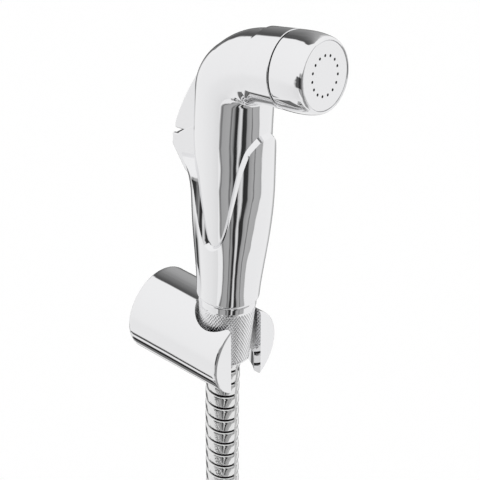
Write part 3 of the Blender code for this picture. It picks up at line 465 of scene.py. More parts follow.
def scoop_edge():
    """The rim of the grip's hollow as (angle from the front, height), on one flank."""
    foot, tip = 0.36 * GRIP_HEIGHT, 0.99 * GRIP_HEIGHT
    front, back = 0.60 * GRIP_RADIUS, LEAF_TIP[0]
    fore = [(front * t**0.5, foot + (0.80 * tip - foot) * t**1.6) for t in np.linspace(0.0, 1.0, 40)]
    fore += [(0.71 * GRIP_RADIUS, 0.94 * tip), (0.84 * GRIP_RADIUS, tip)]
    rise = LEAF_TIP[1] + 0.0004 - foot
    aft = [(back * (0.40 * t**0.7 + 0.65 * t**12), foot + rise * t**0.8) for t in np.linspace(1.0, 0.0, 60)]
    line = np.array(aft + fore[1:])

    def rim(forward):
        if forward > 0.84 * GRIP_RADIUS:
            return GRIP_HEIGHT
        return float(np.interp(forward, line[:, 0], line[:, 1]))

    edge = []
    for angle in np.linspace(0.0, math.pi, 361):
        low, high = 0.3 * GRIP_HEIGHT, GRIP_HEIGHT
        previous = low
        found = high
        for height in np.linspace(low, high, 220):
            if height > rim(grip_forward(angle, height)):
                a, b = previous, height
                for _ in range(20):
                    middle = (a + b) / 2
                    a, b = (a, middle) if middle > rim(grip_forward(angle, middle)) else (middle, b)
                found = b
                break
            previous = height
        edge.append((angle, found))
    return np.array(edge)


def grip_forward(angle, height):
    """How far forward the grip's skin lies, by angle from the front."""
    size = grip_size(height)
    if math.cos(angle) < 0:
        size += leaf_flare(height)
    return 0.5 * neck_shift(height) + size * math.cos(angle)


# The rounded edge of the grip's foot as (inset, height), the height from which its skin is plain, how
# often the rim is smoothed, and the rows up the skin
FOOT_EDGE = ((0.0010, 0.0), (0.00062, 0.00007), (0.0003, 0.0003), (0.00008, 0.00062), (0.00001, 0.00088),
             (0.0, 0.00105))
FOOT_EDGE_TOP = 0.0013
RIM_SMOOTHING = 30
GRIP_ROWS = 56


def grip_form():
    """The grip up to the rim of its hollow, a rounded rim, and the cut through to the other flank."""
    edge = scoop_edge()
    flat = np.stack([edge[:, 0] * GRIP_RADIUS, edge[:, 1]], 1)
    step = np.linalg.norm(np.diff(flat, axis=0), axis=1)
    run = np.concatenate([[0], np.cumsum(step)])
    marks = np.linspace(0, run[-1], 260)
    flat = np.stack([np.interp(marks, run, flat[:, k]) for k in (0, 1)], 1)
    for _ in range(RIM_SMOOTHING):
        flat[1:-1] = 0.25 * flat[:-2] + 0.5 * flat[1:-1] + 0.25 * flat[2:]
    tangent = np.gradient(flat, axis=0)
    tangent /= np.linalg.norm(tangent, axis=1)[:, None]
    inward = np.stack([tangent[:, 1], -tangent[:, 0]], 1)
    lower = flat + RIM_WIDTH * inward
    lower[0, 0], lower[-1, 0] = 0.0, math.pi * GRIP_RADIUS
    lower[:, 0] = np.clip(np.maximum.accumulate(lower[:, 0]), 0.0, math.pi * GRIP_RADIUS)
    columns = []
    for (u, top), (u0, height0) in zip(lower, flat):
        angle = u / GRIP_RADIUS
        points = []
        for inset, height in FOOT_EDGE:
            size = grip_size(height) - inset
            points.append((size * math.cos(angle), height, size * math.sin(angle)))
        for j in range(GRIP_ROWS + 1):
            height = FOOT_EDGE_TOP + (top - FOOT_EDGE_TOP) * (j / GRIP_ROWS)
            points.append((grip_forward(angle, height), height, grip_size(height) * math.sin(angle)))
        forward0 = grip_forward(u0 / GRIP_RADIUS, height0)
        outer0 = grip_size(height0) * math.sin(u0 / GRIP_RADIUS)
        middle = neck_shift(height0)
        around = math.atan2(outer0, forward0 - middle)
        reach = min(neck_size(height0), math.hypot(outer0, forward0 - middle)) - 0.0003
        forward0, side0 = middle + reach * math.cos(around), reach * math.sin(around)
        end = points[-1]
        for t in (0.2, 0.4, 0.6, 0.8, 1.0):
            bow = 0.00012 * math.sin(math.pi * t)
            points.append((end[0] + (forward0 - end[0]) * t, end[1] + (height0 - end[1]) * t,
                           end[2] + (side0 - end[2]) * t + bow))
        points.append((forward0, height0, 0.0))
        columns.append(points)
    ring = columns + [[(f, h, -s) for f, h, s in column] for column in columns[-2:0:-1]]
    rows = [[at(*column[j]) for column in ring] for j in range(len(ring[0]))]
    mesh = grid_mesh("grip_form", rows, caps=(True, False))
    return new_object("grip_form", outward(mesh, weld=True))


def plate_form(name, outline, half_width, bevel=0.0, segments=3):
    """A plate of the handset cut to a side outline of (forward, height), its edges rounded."""
    count = len(outline)
    verts = [tuple(at(f, h, side)) for side in (-half_width, half_width) for f, h in outline]
    faces = [tuple(range(count)), tuple(range(2 * count - 1, count - 1, -1))]
    faces += [(i, count + i, count + (i + 1) % count, (i + 1) % count) for i in range(count)]
    mesh = bpy.data.meshes.new(name)
    mesh.from_pydata(verts, [], faces)
    obj = new_object(name, outward(mesh))
    if bevel:
        edge = obj.modifiers.new("edge", "BEVEL")
        edge.width, edge.segments, edge.angle_limit = bevel, segments, math.radians(40)
        edge.limit_method = "ANGLE"
        applied(obj)
    return obj


def applied(obj):
    """Replaces an object's mesh by what its modifiers make of it."""
    bpy.context.view_layer.update()
    graph = bpy.context.evaluated_depsgraph_get()
    mesh = bpy.data.meshes.new_from_object(obj.evaluated_get(graph))
    obj.modifiers.clear()
    obj.data = mesh
    return obj


def cut(obj, operation, *others):
    """Joins others to an object or takes them from it, and removes them."""
    for other in others:
        boolean = obj.modifiers.new(other.name, "BOOLEAN")
        boolean.operation, boolean.solver, boolean.object = operation, "EXACT", other
    applied(obj)
    for other in others:
        bpy.data.objects.remove(other, do_unlink=True)
    return obj


def box_form(name, low, high, place=None):
    """A box between two (side, -forward, height) corners of the handset, or of another place."""
    mesh = bpy.data.meshes.new(name)
    shape = bmesh.new()
    bmesh.ops.create_cube(shape, size=1.0)
    low, high = Vector(low), Vector(high)
    bmesh.ops.scale(shape, vec=high - low, verts=shape.verts)
    bmesh.ops.translate(shape, vec=(low + high) / 2, verts=shape.verts)
    bmesh.ops.transform(shape, matrix=place if place is not None else HANDSET, verts=shape.verts)
    shape.to_mesh(mesh)
    shape.free()
    return new_object(name, mesh)


def across(forward, height):
    """A place on the handset whose Z axis runs sideways."""
    return HANDSET @ Matrix.Translation((0, -forward, height)) @ Matrix.Rotation(math.pi / 2, 4, "Y")


def rod_form(name, radius, low, high, place, steps=48):
    """A plain rod along the Z axis of a place."""
    profile = [(AXIS, low), (radius, low), (radius, high), (AXIS, high)]
    return closed_form(name, turned_rows(profile, steps, place))


def weighted(obj):
    """Normals that keep broad faces smooth beside small ones."""
    normals = obj.modifiers.new("normals", "WEIGHTED_NORMAL")
    normals.keep_sharp = True
    normals.weight = 80
    return obj


def join_to(piece, body, slot, *nodes):
    """Hands a finished piece over in place of its CAD nodes."""
    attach(piece, body)
    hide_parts(*nodes)


def handset_shell():
    """Neck, leaved grip and heel in one, hollowed, with the lever's slot."""
    body = neck_form()
    heel = plate_form("heel_form", [
        (-0.008, HEEL_TOP + 0.014), (-0.0150, HEEL_TOP + 0.0120), (-0.0172, HEEL_TOP + 0.0075),
        (LEVER_TIP[0] + 0.0036, HEEL_TOP + 0.0019), (LEVER_TIP[0] + 0.0030, HEEL_TOP + 0.0010),
        (LEVER_TIP[0] + 0.0004, HEEL_TOP + 0.0008),
        (LEVER_TIP[0] + 0.0006, LEAF_TIP[1] + 0.0022),
        (LEAF_TIP[0], LEAF_TIP[1]), (LEAF_TIP[0] * 0.74, LEAF_TIP[1] - 0.009),
        (-0.008, LEAF_TIP[1] - 0.016)], LEVER_HALF + CHEEK, 0.0006)
    cut(body, "UNION", grip_form(), heel)
    bore = SPIGOT_RADIUS - 0.0013
    ends = [(NECK_STRAIGHT - 0.005, NECK_RADIUS - WALL), (NECK_STRAIGHT - 0.003, bore),
            (NECK_STRAIGHT + 0.009, bore)]
    hollow = closed_form("hollow", neck_rows(WALL, 0.0178, 64, ends))
    bosses = rod_form("bosses", 0.003, -0.009, 0.009, across(*LEVER_PIN))
    cut(hollow, "DIFFERENCE", bosses)
    foot = rod_form("foot_hollow", THREAD_RADIUS - 0.0004, -0.001, 0.0195, HANDSET, 64)
    half = LEVER_HALF + LEVER_PLAY
    slot_top = LEVER_PIN[1] + LEVER_TOP + LEVER_PLAY
    outside, inside = -2 * GRIP_RADIUS, LEVER_PIN[0] + 0.006
    slot = plate_form("slot", [(outside, HEEL_TOP), (-0.0234, HEEL_TOP), (-0.0130, HEEL_TOP + 0.0024),
                               (inside, HEEL_TOP + 0.0024), (inside, slot_top), (outside, slot_top)], half)
    pin = rod_form("pin_hole", PIN_BORE, -0.0096, 0.0096, across(*LEVER_PIN))
    cut(body, "DIFFERENCE", hollow, foot, slot, pin)
    body.name = body.data.name = "handset_shell"
    finish_mesh(body, 32)
    weighted(body)
    # The slot's inside takes a near-black material: painted shade in the recess
    dress(body, chrome("handset_chrome", wave=0.00022), satin("handset_recess_painted_shade", 0.12))
    # Faces inside the lever's slot get the painted shade material
    back = HANDSET.inverted()
    for face in body.data.polygons:
        spot = back @ face.center
        within = abs(spot.x) < half + 0.00003 and -spot.y < -0.0075
        if within and HEEL_TOP - 0.0001 < spot.z < slot_top + 0.0001:
            face.material_index = 1
    join_to(body, "shower", "chromed_metal", "handset_body")


# Thumb lever


def lever_outline():
    """The lever's side outline: a crowned back, a lip and the part round its pin."""
    top = (LEVER_PIN[0] - 0.0006, LEVER_PIN[1] + LEVER_TOP)
    outline = []
    for i in range(25):
        share = i / 24
        crown = 0.0017 * math.sin(math.pi * share) ** 0.6
        outline.append((top[0] + (LEVER_TIP[0] - top[0]) * share - crown,
                        top[1] + (LEVER_TIP[1] - top[1]) * share))
    outline += [(LEVER_TIP[0] + 0.0001, LEVER_TIP[1] - 0.0014),
                (LEVER_TIP[0] + 0.006, LEVER_TIP[1] - 0.0008),
                (LEVER_TIP[0] + 0.0120, LEVER_TIP[1] - 0.0002),
                (LEVER_TIP[0] + 0.0127, LEVER_TIP[1] + 0.013),
                (LEVER_PIN[0] - 0.003, LEVER_PIN[1] - 0.004),
                (LEVER_PIN[0] + 0.0014, LEVER_PIN[1] + 0.001),
                (LEVER_PIN[0] + 0.0014, LEVER_PIN[1] + 0.7 * LEVER_TOP)]
    return outline


def thumb_lever():
    """The lever with its hub and the forked arm that lifts the spindle."""
    lever = plate_form("thumb_lever_blade", lever_outline(), LEVER_HALF, 0.0007, 4)
    hub = rod_form("hub", 0.0032, -LEVER_HALF + 0.0003, LEVER_HALF - 0.0003, across(*LEVER_PIN))
    height = LEVER_PIN[1] - 0.003
    arm = box_form("arm", (-0.0045, -LEVER_PIN[0] - 0.0125, height - 0.0018),
                   (0.0045, -LEVER_PIN[0], height))
    cut(lever, "UNION", hub, arm)
    notch = box_form("notch", (-0.002, -LEVER_PIN[0] - 0.0135, height - 0.004),
                     (0.002, 0.0056, height + 0.004))
    bore = rod_form("bore", PIN_BORE, -0.0065, 0.0065, across(*LEVER_PIN))
    cut(lever, "DIFFERENCE", notch, bore)
    finish_mesh(lever, 35)
    weighted(lever)
    dress(lever, chrome("lever_chrome"))
    join_to(lever, "thumb_lever", "chromed_metal", "trigger_lever")


# Spray head


def head_place():
    """The middle of the face, with Z out of it."""
    forward, height = head_axis(NECK_STRAIGHT + CAP_LENGTH)
    return HANDSET @ Matrix.Translation((0, -forward, height)) @ Matrix.Rotation(HEAD_TURN, 4, "X")


def spray_ring():
    """The screwed ring round the face, slightly bulged, with a rounded lip."""
    rim = FACE_RADIUS - FACE_RIM
    back = -CAP_LENGTH + 0.0006
    profile = [(rim, -0.0021), (rim, -0.00025), (rim + 0.00008, -0.00008), (rim + 0.00025, 0.0),
               (FACE_RADIUS - 0.00045, 0.0), (FACE_RADIUS - 0.0002, -0.00006),
               (FACE_RADIUS - 0.00004, -0.0002)]
    for i in range(25):
        share = (i + 0.4) / 25
        width = FACE_RADIUS + (NECK_RADIUS - FACE_RADIUS) * share**0.6
        bulge = CAP_BULGE * math.sin(math.pi * share**0.8)
        profile.append((width + bulge, -0.0003 + (back + 0.0006) * share))
    for k in range(1, 5):
        angle = k * math.pi / 8
        profile.append((NECK_RADIUS - 0.0004 + 0.0004 * math.cos(angle),
                        back + 0.0004 - 0.0004 * math.sin(angle)))
    spigot = SPIGOT_RADIUS + GAP
    profile += [(spigot + 0.0004, back), (spigot, back), (spigot, -0.007), (rim - 0.0006, -0.0064),
                (rim - 0.0006, -0.0021), (rim, -0.0021)]
    rows = turned_rows(profile[:-1], 160, head_place())
    ring = new_object("spray_ring", grid_mesh("spray_ring", rows, closed_rows=True))
    finish_mesh(ring, 40)
    dress(ring, chrome("spray_ring_chrome"))
    join_to(ring, "shower", "chromed_metal", "spray_cap")


def hole_tree():
    """Drills in a ring, one for each hole."""
    tree, given, out = node_tree("spray_holes", Holes="Int", Ring="Float", Bore="Float", Depth="Float",
                                 Finish="Material")
    ring = linked(tree, "GeometryNodeMeshCircle", Vertices=given["Holes"], Radius=given["Ring"])
    drill = linked(tree, "GeometryNodeMeshCylinder", Vertices=20, Radius=given["Bore"],
                   Depth=given["Depth"])
    drills = linked(tree, "GeometryNodeInstanceOnPoints", Points=ring.outputs["Mesh"],
                    Instance=drill.outputs["Mesh"])
    real = linked(tree, "GeometryNodeRealizeInstances", Geometry=drills.outputs["Instances"])
    finish = linked(tree, "GeometryNodeSetMaterial", Geometry=real.outputs["Geometry"],
                    Material=given["Finish"])
    tree.links.new(finish.outputs["Geometry"], out)
    return tree


def spray_plate():
    """The face: a faint dish with fifteen drilled holes."""
    top, low = -0.0003, -0.0018
    outer = FACE_RADIUS - FACE_RIM - 0.0001
    profile = [(AXIS, low), (outer, low), (outer, top - 0.0002), (outer - 0.0002, top)]
    profile += [(outer * k / 12, top - 0.00008 * (1 - (k / 12) ** 2)) for k in range(11, 0, -1)]
    profile += [(AXIS, top - 0.00008)]
    face = closed_form("spray_plate", turned_rows(profile, 120, head_place()))
    looks = chrome("spray_plate_chrome", rough=(0.09, 0.14))
    turn = head_place() @ Matrix.Rotation(2 * math.pi * HOLE_PHASE / HOLE_COUNT, 4, "Z")
    holes = grown("holes", hole_tree(), turn, Holes=HOLE_COUNT, Ring=HOLE_RING_RADIUS, Bore=HOLE_RADIUS,
                  Depth=0.006, Finish=looks)
    cut(face, "DIFFERENCE", holes)
    finish_mesh(face, 30)
    dress(face, looks)
    join_to(face, "shower", "chromed_metal", "spray_face")


# Hose nut

# The share of a diamond that is flat on top, how fast the grooves fade out at the knurl's ends, and the
# points across a diamond
DIAMOND_FLAT = 0.25
KNURL_FADE = 33.0
KNURL_SAMPLES = 8


def knurl_tree():
    """A cone of diamonds: a grid bent round, with two sets of crossing grooves cut into it."""
    tree, given, out = node_tree("diamond_knurl", Around="Int", Up="Int", Starts="Float", Turns="Float",
                                 Top="Float", Foot="Float", Top_radius="Float", Foot_radius="Float",
                                 Depth="Float", Finish="Material")

    def calc(kind, *values):
        return math_node(tree, kind, *values)

    def between(low, high, share):
        return calc("ADD", low, calc("MULTIPLY", calc("SUBTRACT", high, low), share))

    grid = linked(tree, "GeometryNodeMeshGrid", Size_X=1.0, Size_Y=1.0,
                  Vertices_X=calc("ADD", given["Around"], 1), Vertices_Y=calc("ADD", given["Up"], 1))
    position = tree.nodes.new("GeometryNodeInputPosition")
    spot = linked(tree, "ShaderNodeSeparateXYZ", Vector=position.outputs[0])
    turn, drop = calc("ADD", spot.outputs["X"], 0.5), calc("ADD", spot.outputs["Y"], 0.5)
    first, second = calc("MULTIPLY", turn, given["Starts"]), calc("MULTIPLY", drop, given["Turns"])
    ways = [calc("ABSOLUTE", calc("SUBTRACT", calc("FRACT", calc(way, first, second)), 0.5))
            for way in ("ADD", "SUBTRACT")]
    groove = calc("SUBTRACT", calc("MULTIPLY", calc("MAXIMUM", *ways), 2.0), DIAMOND_FLAT)
    cut_in = calc("MULTIPLY", calc("MAXIMUM", groove, 0.0), 1 / (1 - DIAMOND_FLAT))
    from_end = calc("MINIMUM", drop, calc("SUBTRACT", 1.0, drop))
    fade = calc("MINIMUM", calc("MULTIPLY", from_end, KNURL_FADE), 1.0)
    radius = calc("SUBTRACT", between(given["Top_radius"], given["Foot_radius"], drop),
                  calc("MULTIPLY", calc("MULTIPLY", cut_in, fade), given["Depth"]))
    angle = calc("MULTIPLY", turn, 2 * math.pi)
    bent = linked(tree, "ShaderNodeCombineXYZ", X=calc("MULTIPLY", radius, calc("COSINE", angle)),
                  Y=calc("MULTIPLY", radius, calc("SINE", angle)),
                  Z=between(given["Top"], given["Foot"], drop))
    placed = linked(tree, "GeometryNodeSetPosition", Geometry=grid.outputs["Mesh"],
                    Position=bent.outputs[0])
    closed = linked(tree, "GeometryNodeMergeByDistance", Geometry=placed.outputs["Geometry"],
                    Distance=0.000002)
    real = linked(tree, "GeometryNodeRealizeInstances", Geometry=closed.outputs["Geometry"])
    finish = linked(tree, "GeometryNodeSetMaterial", Geometry=real.outputs["Geometry"],
                    Material=given["Finish"])
    tree.links.new(finish.outputs["Geometry"], out)
    return tree


def knurled_nut():
    """The conical nut: a plain band, then a diamond knurl, and a chamfered foot."""
    around = KNURL_SAMPLES * KNURL_STARTS
    low = -NUT_LENGTH
    knurl_top, knurl_foot = -NUT_BAND - 0.0004, low + 0.0014
    turns = round(KNURL_SAMPLES * (knurl_top - knurl_foot) / KNURL_PITCH) / KNURL_SAMPLES
    thread, seat = THREAD_RADIUS + 0.00015, THREAD_RADIUS - 0.00015
    top, foot = NUT_TOP_RADIUS - 0.0001, NUT_LOW_RADIUS - 0.0001
    profile = [(foot, knurl_foot), (foot, low + 0.0011), (NUT_LOW_RADIUS - 0.0011, low + 0.0001),
               (NUT_LOW_RADIUS - 0.0012, low), (HOSE_RADIUS + 0.0006, low), (HOSE_RADIUS + 0.0006, -0.0135),
               (seat, -0.0135), (seat, -0.0094), (thread, -0.0094), (thread, -0.0005),
               (NUT_TOP_RADIUS - 0.0005, -0.0003), (NUT_TOP_RADIUS - 0.0002, -0.0004),
               (NUT_TOP_RADIUS - 0.00005, -0.0006), (NUT_TOP_RADIUS, -0.0009), (NUT_TOP_RADIUS, -0.0011),
               (NUT_TOP_RADIUS, -NUT_BAND + 0.0003), (NUT_TOP_RADIUS, -NUT_BAND + 0.0001),
               (top, -NUT_BAND - 0.0001), (top, knurl_top)]
    looks = chrome("nut_chrome")
    nut = grown("knurled_nut", knurl_tree(), HANDSET, Around=around, Up=int(KNURL_SAMPLES * turns),
                Starts=float(KNURL_STARTS), Turns=turns, Top=knurl_top, Foot=knurl_foot, Top_radius=top,
                Foot_radius=foot, Depth=KNURL_DEPTH, Finish=looks)
    outward(nut.data, grid_mesh("nut_rest", turned_rows(profile, around, HANDSET)), weld=True)
    finish_mesh(nut, 50)
    dress(nut, looks)
    join_to(nut, "shower", "chromed_metal", "hose_nut")


# Wall holder


def out_of_wall():
    """A turn that points Z away from the wall."""
    return Matrix.Rotation(math.pi / 2, 4, "X")


def wall_holder():
    """The holder's cylinder with its tapered bore, slot and open back."""
    inner, outer = HOLDER_RADIUS - HOLDER_EDGE, HOLDER_LENGTH - HOLDER_EDGE
    profile = [(AXIS, HOLDER_LENGTH), (0.5 * HOLDER_RADIUS, HOLDER_LENGTH)]
    for k in range(5):
        angle = math.pi / 2 - k * math.pi / 8
        profile.append((inner + HOLDER_EDGE * math.cos(angle), outer + HOLDER_EDGE * math.sin(angle)))
    for k in range(1, 40):
        profile.append((HOLDER_RADIUS, outer - (HOLDER_LENGTH - 2 * HOLDER_EDGE) * k / 40))
    for k in range(5):
        angle = -k * math.pi / 8
        profile.append((inner + HOLDER_EDGE * math.cos(angle), HOLDER_EDGE + HOLDER_EDGE * math.sin(angle)))
    deep = BORE_FROM_WALL - BORE_RADIUS - 0.004
    profile += [(PLATE_RECESS, 0.0), (PLATE_RECESS, PLATE_DEPTH + GAP),
                (0.6 * PLATE_RECESS, PLATE_DEPTH + GAP), (0.6 * PLATE_RECESS, deep), (AXIS, deep)]
    holder = closed_form("holder_form", turned_rows(profile, 192, out_of_wall()))
    high = HOLDER_RADIUS + 0.001
    bore_profile = [(AXIS, high), (BORE_RADIUS, high), (BORE_RADIUS, 0.44 * HOLDER_RADIUS),
                    (BORE_LOW_RADIUS, -0.38 * HOLDER_RADIUS), (BORE_LOW_RADIUS, -high), (AXIS, -high)]
    bore = closed_form("bore", turned_rows(bore_profile, 144, Matrix.Translation((0, -BORE_FROM_WALL, 0))))
    slot = box_form("slot", (-SLOT_HALF, -HOLDER_LENGTH - 0.001, -high), (SLOT_HALF, -BORE_FROM_WALL, high),
                    Matrix())
    grub = rod_form("grub", 0.0023, PLATE_RECESS - 0.002, high,
                    Matrix.Translation((0, -PLATE_DEPTH / 2, 0)) @ Matrix.Rotation(math.pi, 4, "X"))
    cut(holder, "DIFFERENCE", bore, slot, grub)
    holder.name = holder.data.name = "wall_holder"
    edge = holder.modifiers.new("edge", "BEVEL")
    edge.width, edge.segments = HOLDER_BEVEL, 5
    edge.limit_method, edge.angle_limit = "ANGLE", math.radians(50)
    edge.use_clamp_overlap = True
    edge.harden_normals = False
    applied(holder)
    finish_mesh(holder, 35)
    weighted(holder)
    dress(holder, chrome("holder_chrome"), satin("holder_bore_metal"))
    for face in holder.data.polygons:
        middle = face.center
        reach = math.hypot(middle.x, middle.y + BORE_FROM_WALL)
        within = middle.y > -BORE_FROM_WALL + 0.001 and reach < BORE_RADIUS + 0.00002
        if within and abs(face.normal.z) < 0.5:
            face.material_index = 1
    join_to(holder, "shower", "chromed_metal", "holder_body")


# Materials


def shader(name, colour, roughness, metallic):
    """A material with its plain values set on the shader."""
    mat = bpy.data.materials.new(name)
    mat.use_nodes = True
    tree = mat.node_tree
    bsdf = tree.nodes["Principled BSDF"]
    bsdf.inputs["Base Color"].default_value = (*colour, 1.0)
    bsdf.inputs["Roughness"].default_value = roughness
    bsdf.inputs["Metallic"].default_value = metallic
    return mat, tree, bsdf


def texture(tree, kind, scale, **values):
    """A texture node that reads the object's own coordinates."""
    place = tree.nodes.new("ShaderNodeTexCoord")
    return linked(tree, kind, Scale=scale, Vector=place.outputs["Object"], **values)


def spread(tree, source, low, high, low_out, high_out):
    """A value mapped from one range to another."""
    node = linked(tree, "ShaderNodeMapRange", Value=source, From_Min=low, From_Max=high, To_Min=low_out,
                  To_Max=high_out)
    return node.outputs["Result"]


def bump(tree, bsdf, source, distance):
    """Relief in the shading, by a texture's value."""
    node = linked(tree, "ShaderNodeBump", Strength=1.0, Distance=distance, Height=source.outputs["Fac"])
    tree.links.new(node.outputs["Normal"], bsdf.inputs["Normal"])


def roughen(tree, bsdf, source, *levels):
    """Roughness by a texture's value, from one range to another."""
    tree.links.new(spread(tree, source.outputs["Fac"], *levels), bsdf.inputs["Roughness"])


def tint(tree, bsdf, source, one, other):
    """A colour between two, by a texture's value."""
    node = linked(tree, "ShaderNodeValToRGB", Fac=source.outputs["Fac"])
    first, last = node.color_ramp.elements
    first.position, last.position = 0.3, 0.7
    first.color, last.color = (*one, 1.0), (*other, 1.0)
    tree.links.new(node.outputs["Color"], bsdf.inputs["Base Color"])


def chrome(name, rough=(0.035, 0.075), wave=0.00010):
    """Polished chrome plate: faint waves of the polish, and a few duller patches."""
    mat, tree, bsdf = shader(name, (0.83, 0.83, 0.84), rough[0], 1.0)
    haze = texture(tree, "ShaderNodeTexNoise", 45.0, Detail=3.0)
    roughen(tree, bsdf, haze, 0.35, 0.7, *rough)
    polish = texture(tree, "ShaderNodeTexNoise", 70.0, Detail=0.5)
    bump(tree, bsdf, polish, wave)
    return mat


def satin(name, tone=0.9):
    """The inside of a bore or recess, plated and hardly polished, in a given tone; a dark tone is painted
    shade in a recess.
    """
    mat, tree, bsdf = shader(name, (tone, tone, tone), 0.4, 0.15)
    grain = texture(tree, "ShaderNodeTexNoise", 900.0, Detail=2.0)
    roughen(tree, bsdf, grain, 0.3, 0.7, 0.32, 0.5)
    bump(tree, bsdf, grain, 0.00002)
    return mat


def hose_steel():
    """Bright wound strip, with its seams darkened by painted shade."""
    mat, tree, bsdf = shader("spiral_hose_chrome", (0.80, 0.80, 0.81), 0.12, 1.0)
    rub = texture(tree, "ShaderNodeTexNoise", 300.0, Detail=3.0)
    roughen(tree, bsdf, rub, 0.35, 0.7, 0.07, 0.15)
    bump(tree, bsdf, rub, 0.000006)
    # Painted shade: the base colour darkens with the groove's depth, nearly black in the seams
    depth = tree.nodes.new("ShaderNodeAttribute")
    depth.attribute_name = "depth"
    tone = spread(tree, depth.outputs["Fac"], 0.35, 0.85, 0.03, 0.80)
    join = linked(tree, "ShaderNodeCombineColor", Red=tone, Green=tone, Blue=tone)
    tree.links.new(join.outputs["Color"], bsdf.inputs["Base Color"])
    return mat


def brass(name):
    """Turned brass: fine rings of the tool, and a faint tarnish."""
    mat, tree, bsdf = shader(name, (0.72, 0.55, 0.26), 0.28, 1.0)
    tarnish = texture(tree, "ShaderNodeTexNoise", 160.0, Detail=4.0)
    tint(tree, bsdf, tarnish, (0.76, 0.58, 0.28), (0.60, 0.44, 0.20))
    roughen(tree, bsdf, tarnish, 0.3, 0.7, 0.2, 0.38)
    rings = texture(tree, "ShaderNodeTexWave", 900.0, Distortion=0.6)
    rings.bands_direction = "Z"
    bump(tree, bsdf, rings, 0.00001)
    return mat


def steel(name):
    """Drawn steel with fine scratches along it."""
    mat, tree, bsdf = shader(name, (0.62, 0.62, 0.63), 0.32, 1.0)
    scratch = texture(tree, "ShaderNodeTexNoise", 700.0, Detail=5.0)
    tint(tree, bsdf, scratch, (0.66, 0.66, 0.67), (0.52, 0.52, 0.54))
    roughen(tree, bsdf, scratch, 0.3, 0.7, 0.24, 0.42)
    bump(tree, bsdf, scratch, 0.00001)
    return mat


def plastic(name, pale, dark, rough):
    """Moulded plastic or rubber: a fine grain and a little unevenness of tone."""
    mat, tree, bsdf = shader(name, pale, rough, 0.0)
    grain = texture(tree, "ShaderNodeTexNoise", 1200.0, Detail=3.0)
    cloud = texture(tree, "ShaderNodeTexNoise", 120.0, Detail=2.0)
    tint(tree, bsdf, cloud, pale, dark)
    roughen(tree, bsdf, cloud, 0.3, 0.7, rough - 0.06, rough + 0.08)
    bump(tree, bsdf, grain, 0.00002)
    return mat


def dress_nodes():
    """A material for every CAD node that is still shown, by its slot in the record."""
    slots = {part["node"]: part["material_slot"] for part in frame["record"]["subparts"]}
    made = {
        "chromed_metal": (chrome, "plain_chrome"),
        "bright_brass": (brass, "turned_brass"),
        "steel": (steel, "drawn_steel"),
        "white_plastic": (plastic, "white_plastic_grain", (0.82, 0.82, 0.80), (0.76, 0.76, 0.73), 0.42),
        "grey_plastic": (plastic, "grey_plastic_grain", (0.30, 0.31, 0.32), (0.25, 0.26, 0.27), 0.45),
        "black_rubber": (plastic, "black_rubber_grain", (0.030, 0.030, 0.031), (0.05, 0.05, 0.05), 0.62),
    }
    looks = {}
    for name, node in frame["nodes"].items():
        if node.data and hasattr(node.data, "materials") and not node.hide_render:
            slot = slots[name]
            if slot not in looks:
                make, *values = made[slot]
                looks[slot] = make(*values)
            dress(node, looks[slot])


# Studio

FLOOR_HALF = 6
FLOOR_HEIGHT = -0.9


def studio():
    """A pale floor and a soft white room whose dark flags show in the chrome."""
    mesh = bpy.data.meshes.new("floor")
    corners = [(x * FLOOR_HALF, y * FLOOR_HALF, FLOOR_HEIGHT)
               for x, y in ((-1, -1), (1, -1), (1, 1), (-1, 1))]
    mesh.from_pydata(corners, [], [(0, 1, 2, 3)])
    floor = new_object("floor", mesh)
    floor.data.materials.append(shader("floor_paint", (1.0, 1.0, 1.0), 0.9, 0.0)[0])
    floor.visible_glossy = False
    world = bpy.data.worlds.new("studio")
    bpy.context.scene.world = world
    world.use_nodes = True
    tree = world.node_tree
    tree.nodes.clear()
    out = tree.nodes.new("ShaderNodeOutputWorld")
    plain = linked(tree, "ShaderNodeBackground", Color=(1, 1, 1, 1), Strength=1.0)
    room = linked(tree, "ShaderNodeBackground", Color=room_light(tree), Strength=1.0)
    path = tree.nodes.new("ShaderNodeLightPath")
    mix = linked(tree, "ShaderNodeMixShader", Fac=path.outputs["Is Glossy Ray"])
    tree.links.new(plain.outputs["Background"], mix.inputs[1])
    tree.links.new(room.outputs["Background"], mix.inputs[2])
    tree.links.new(mix.outputs["Shader"], out.inputs["Surface"])


def math_node(tree, kind, a, b=None):
    """A calculation on values or sockets."""
    node = tree.nodes.new("ShaderNodeMath")
    node.operation = kind
    for socket, value in zip(node.inputs, (a, b)):
        if value is None:
            continue
        if isinstance(value, (int, float)):
            socket.default_value = value
        else:
            tree.links.new(value, socket)
    return node.outputs["Value"]


def window(tree, value, low, high, soft):
    """1 where the value lies between low and high, 0 outside, with soft edges."""
    rise = spread(tree, value, low - soft, low + soft, 0.0, 1.0)
    fall = spread(tree, value, high - soft, high + soft, 1.0, 0.0)
    return math_node(tree, "MULTIPLY", rise, fall)


# The tall dark flag before the object: its darkness from its left edge, -1, to its right edge, 1
BAND = [(-1.04, 0.0), (-0.99, 0.60), (-0.93, 0.82), (-0.88, 0.58), (-0.56, 0.54), (-0.49, 0.88),
        (-0.44, 0.60), (-0.37, 0.72), (-0.33, 0.97), (-0.21, 0.97), (-0.16, 0.30), (-0.08, 0.12),
        (-0.04, 0.50), (0.0, 0.97), (0.17, 0.96), (0.22, 0.62), (0.46, 0.52), (0.52, 0.86), (0.57, 0.50),
        (0.90, 0.52), (0.99, 0.60), (1.04, 0.0)]

# Its middle and half width in degrees at an elevation of -27, and what each degree above that adds. Both
# stay the same below -43 and above -24
BAND_MIDDLE = (-116.0, 0.54)
BAND_HALF = (59.0, 1.53)

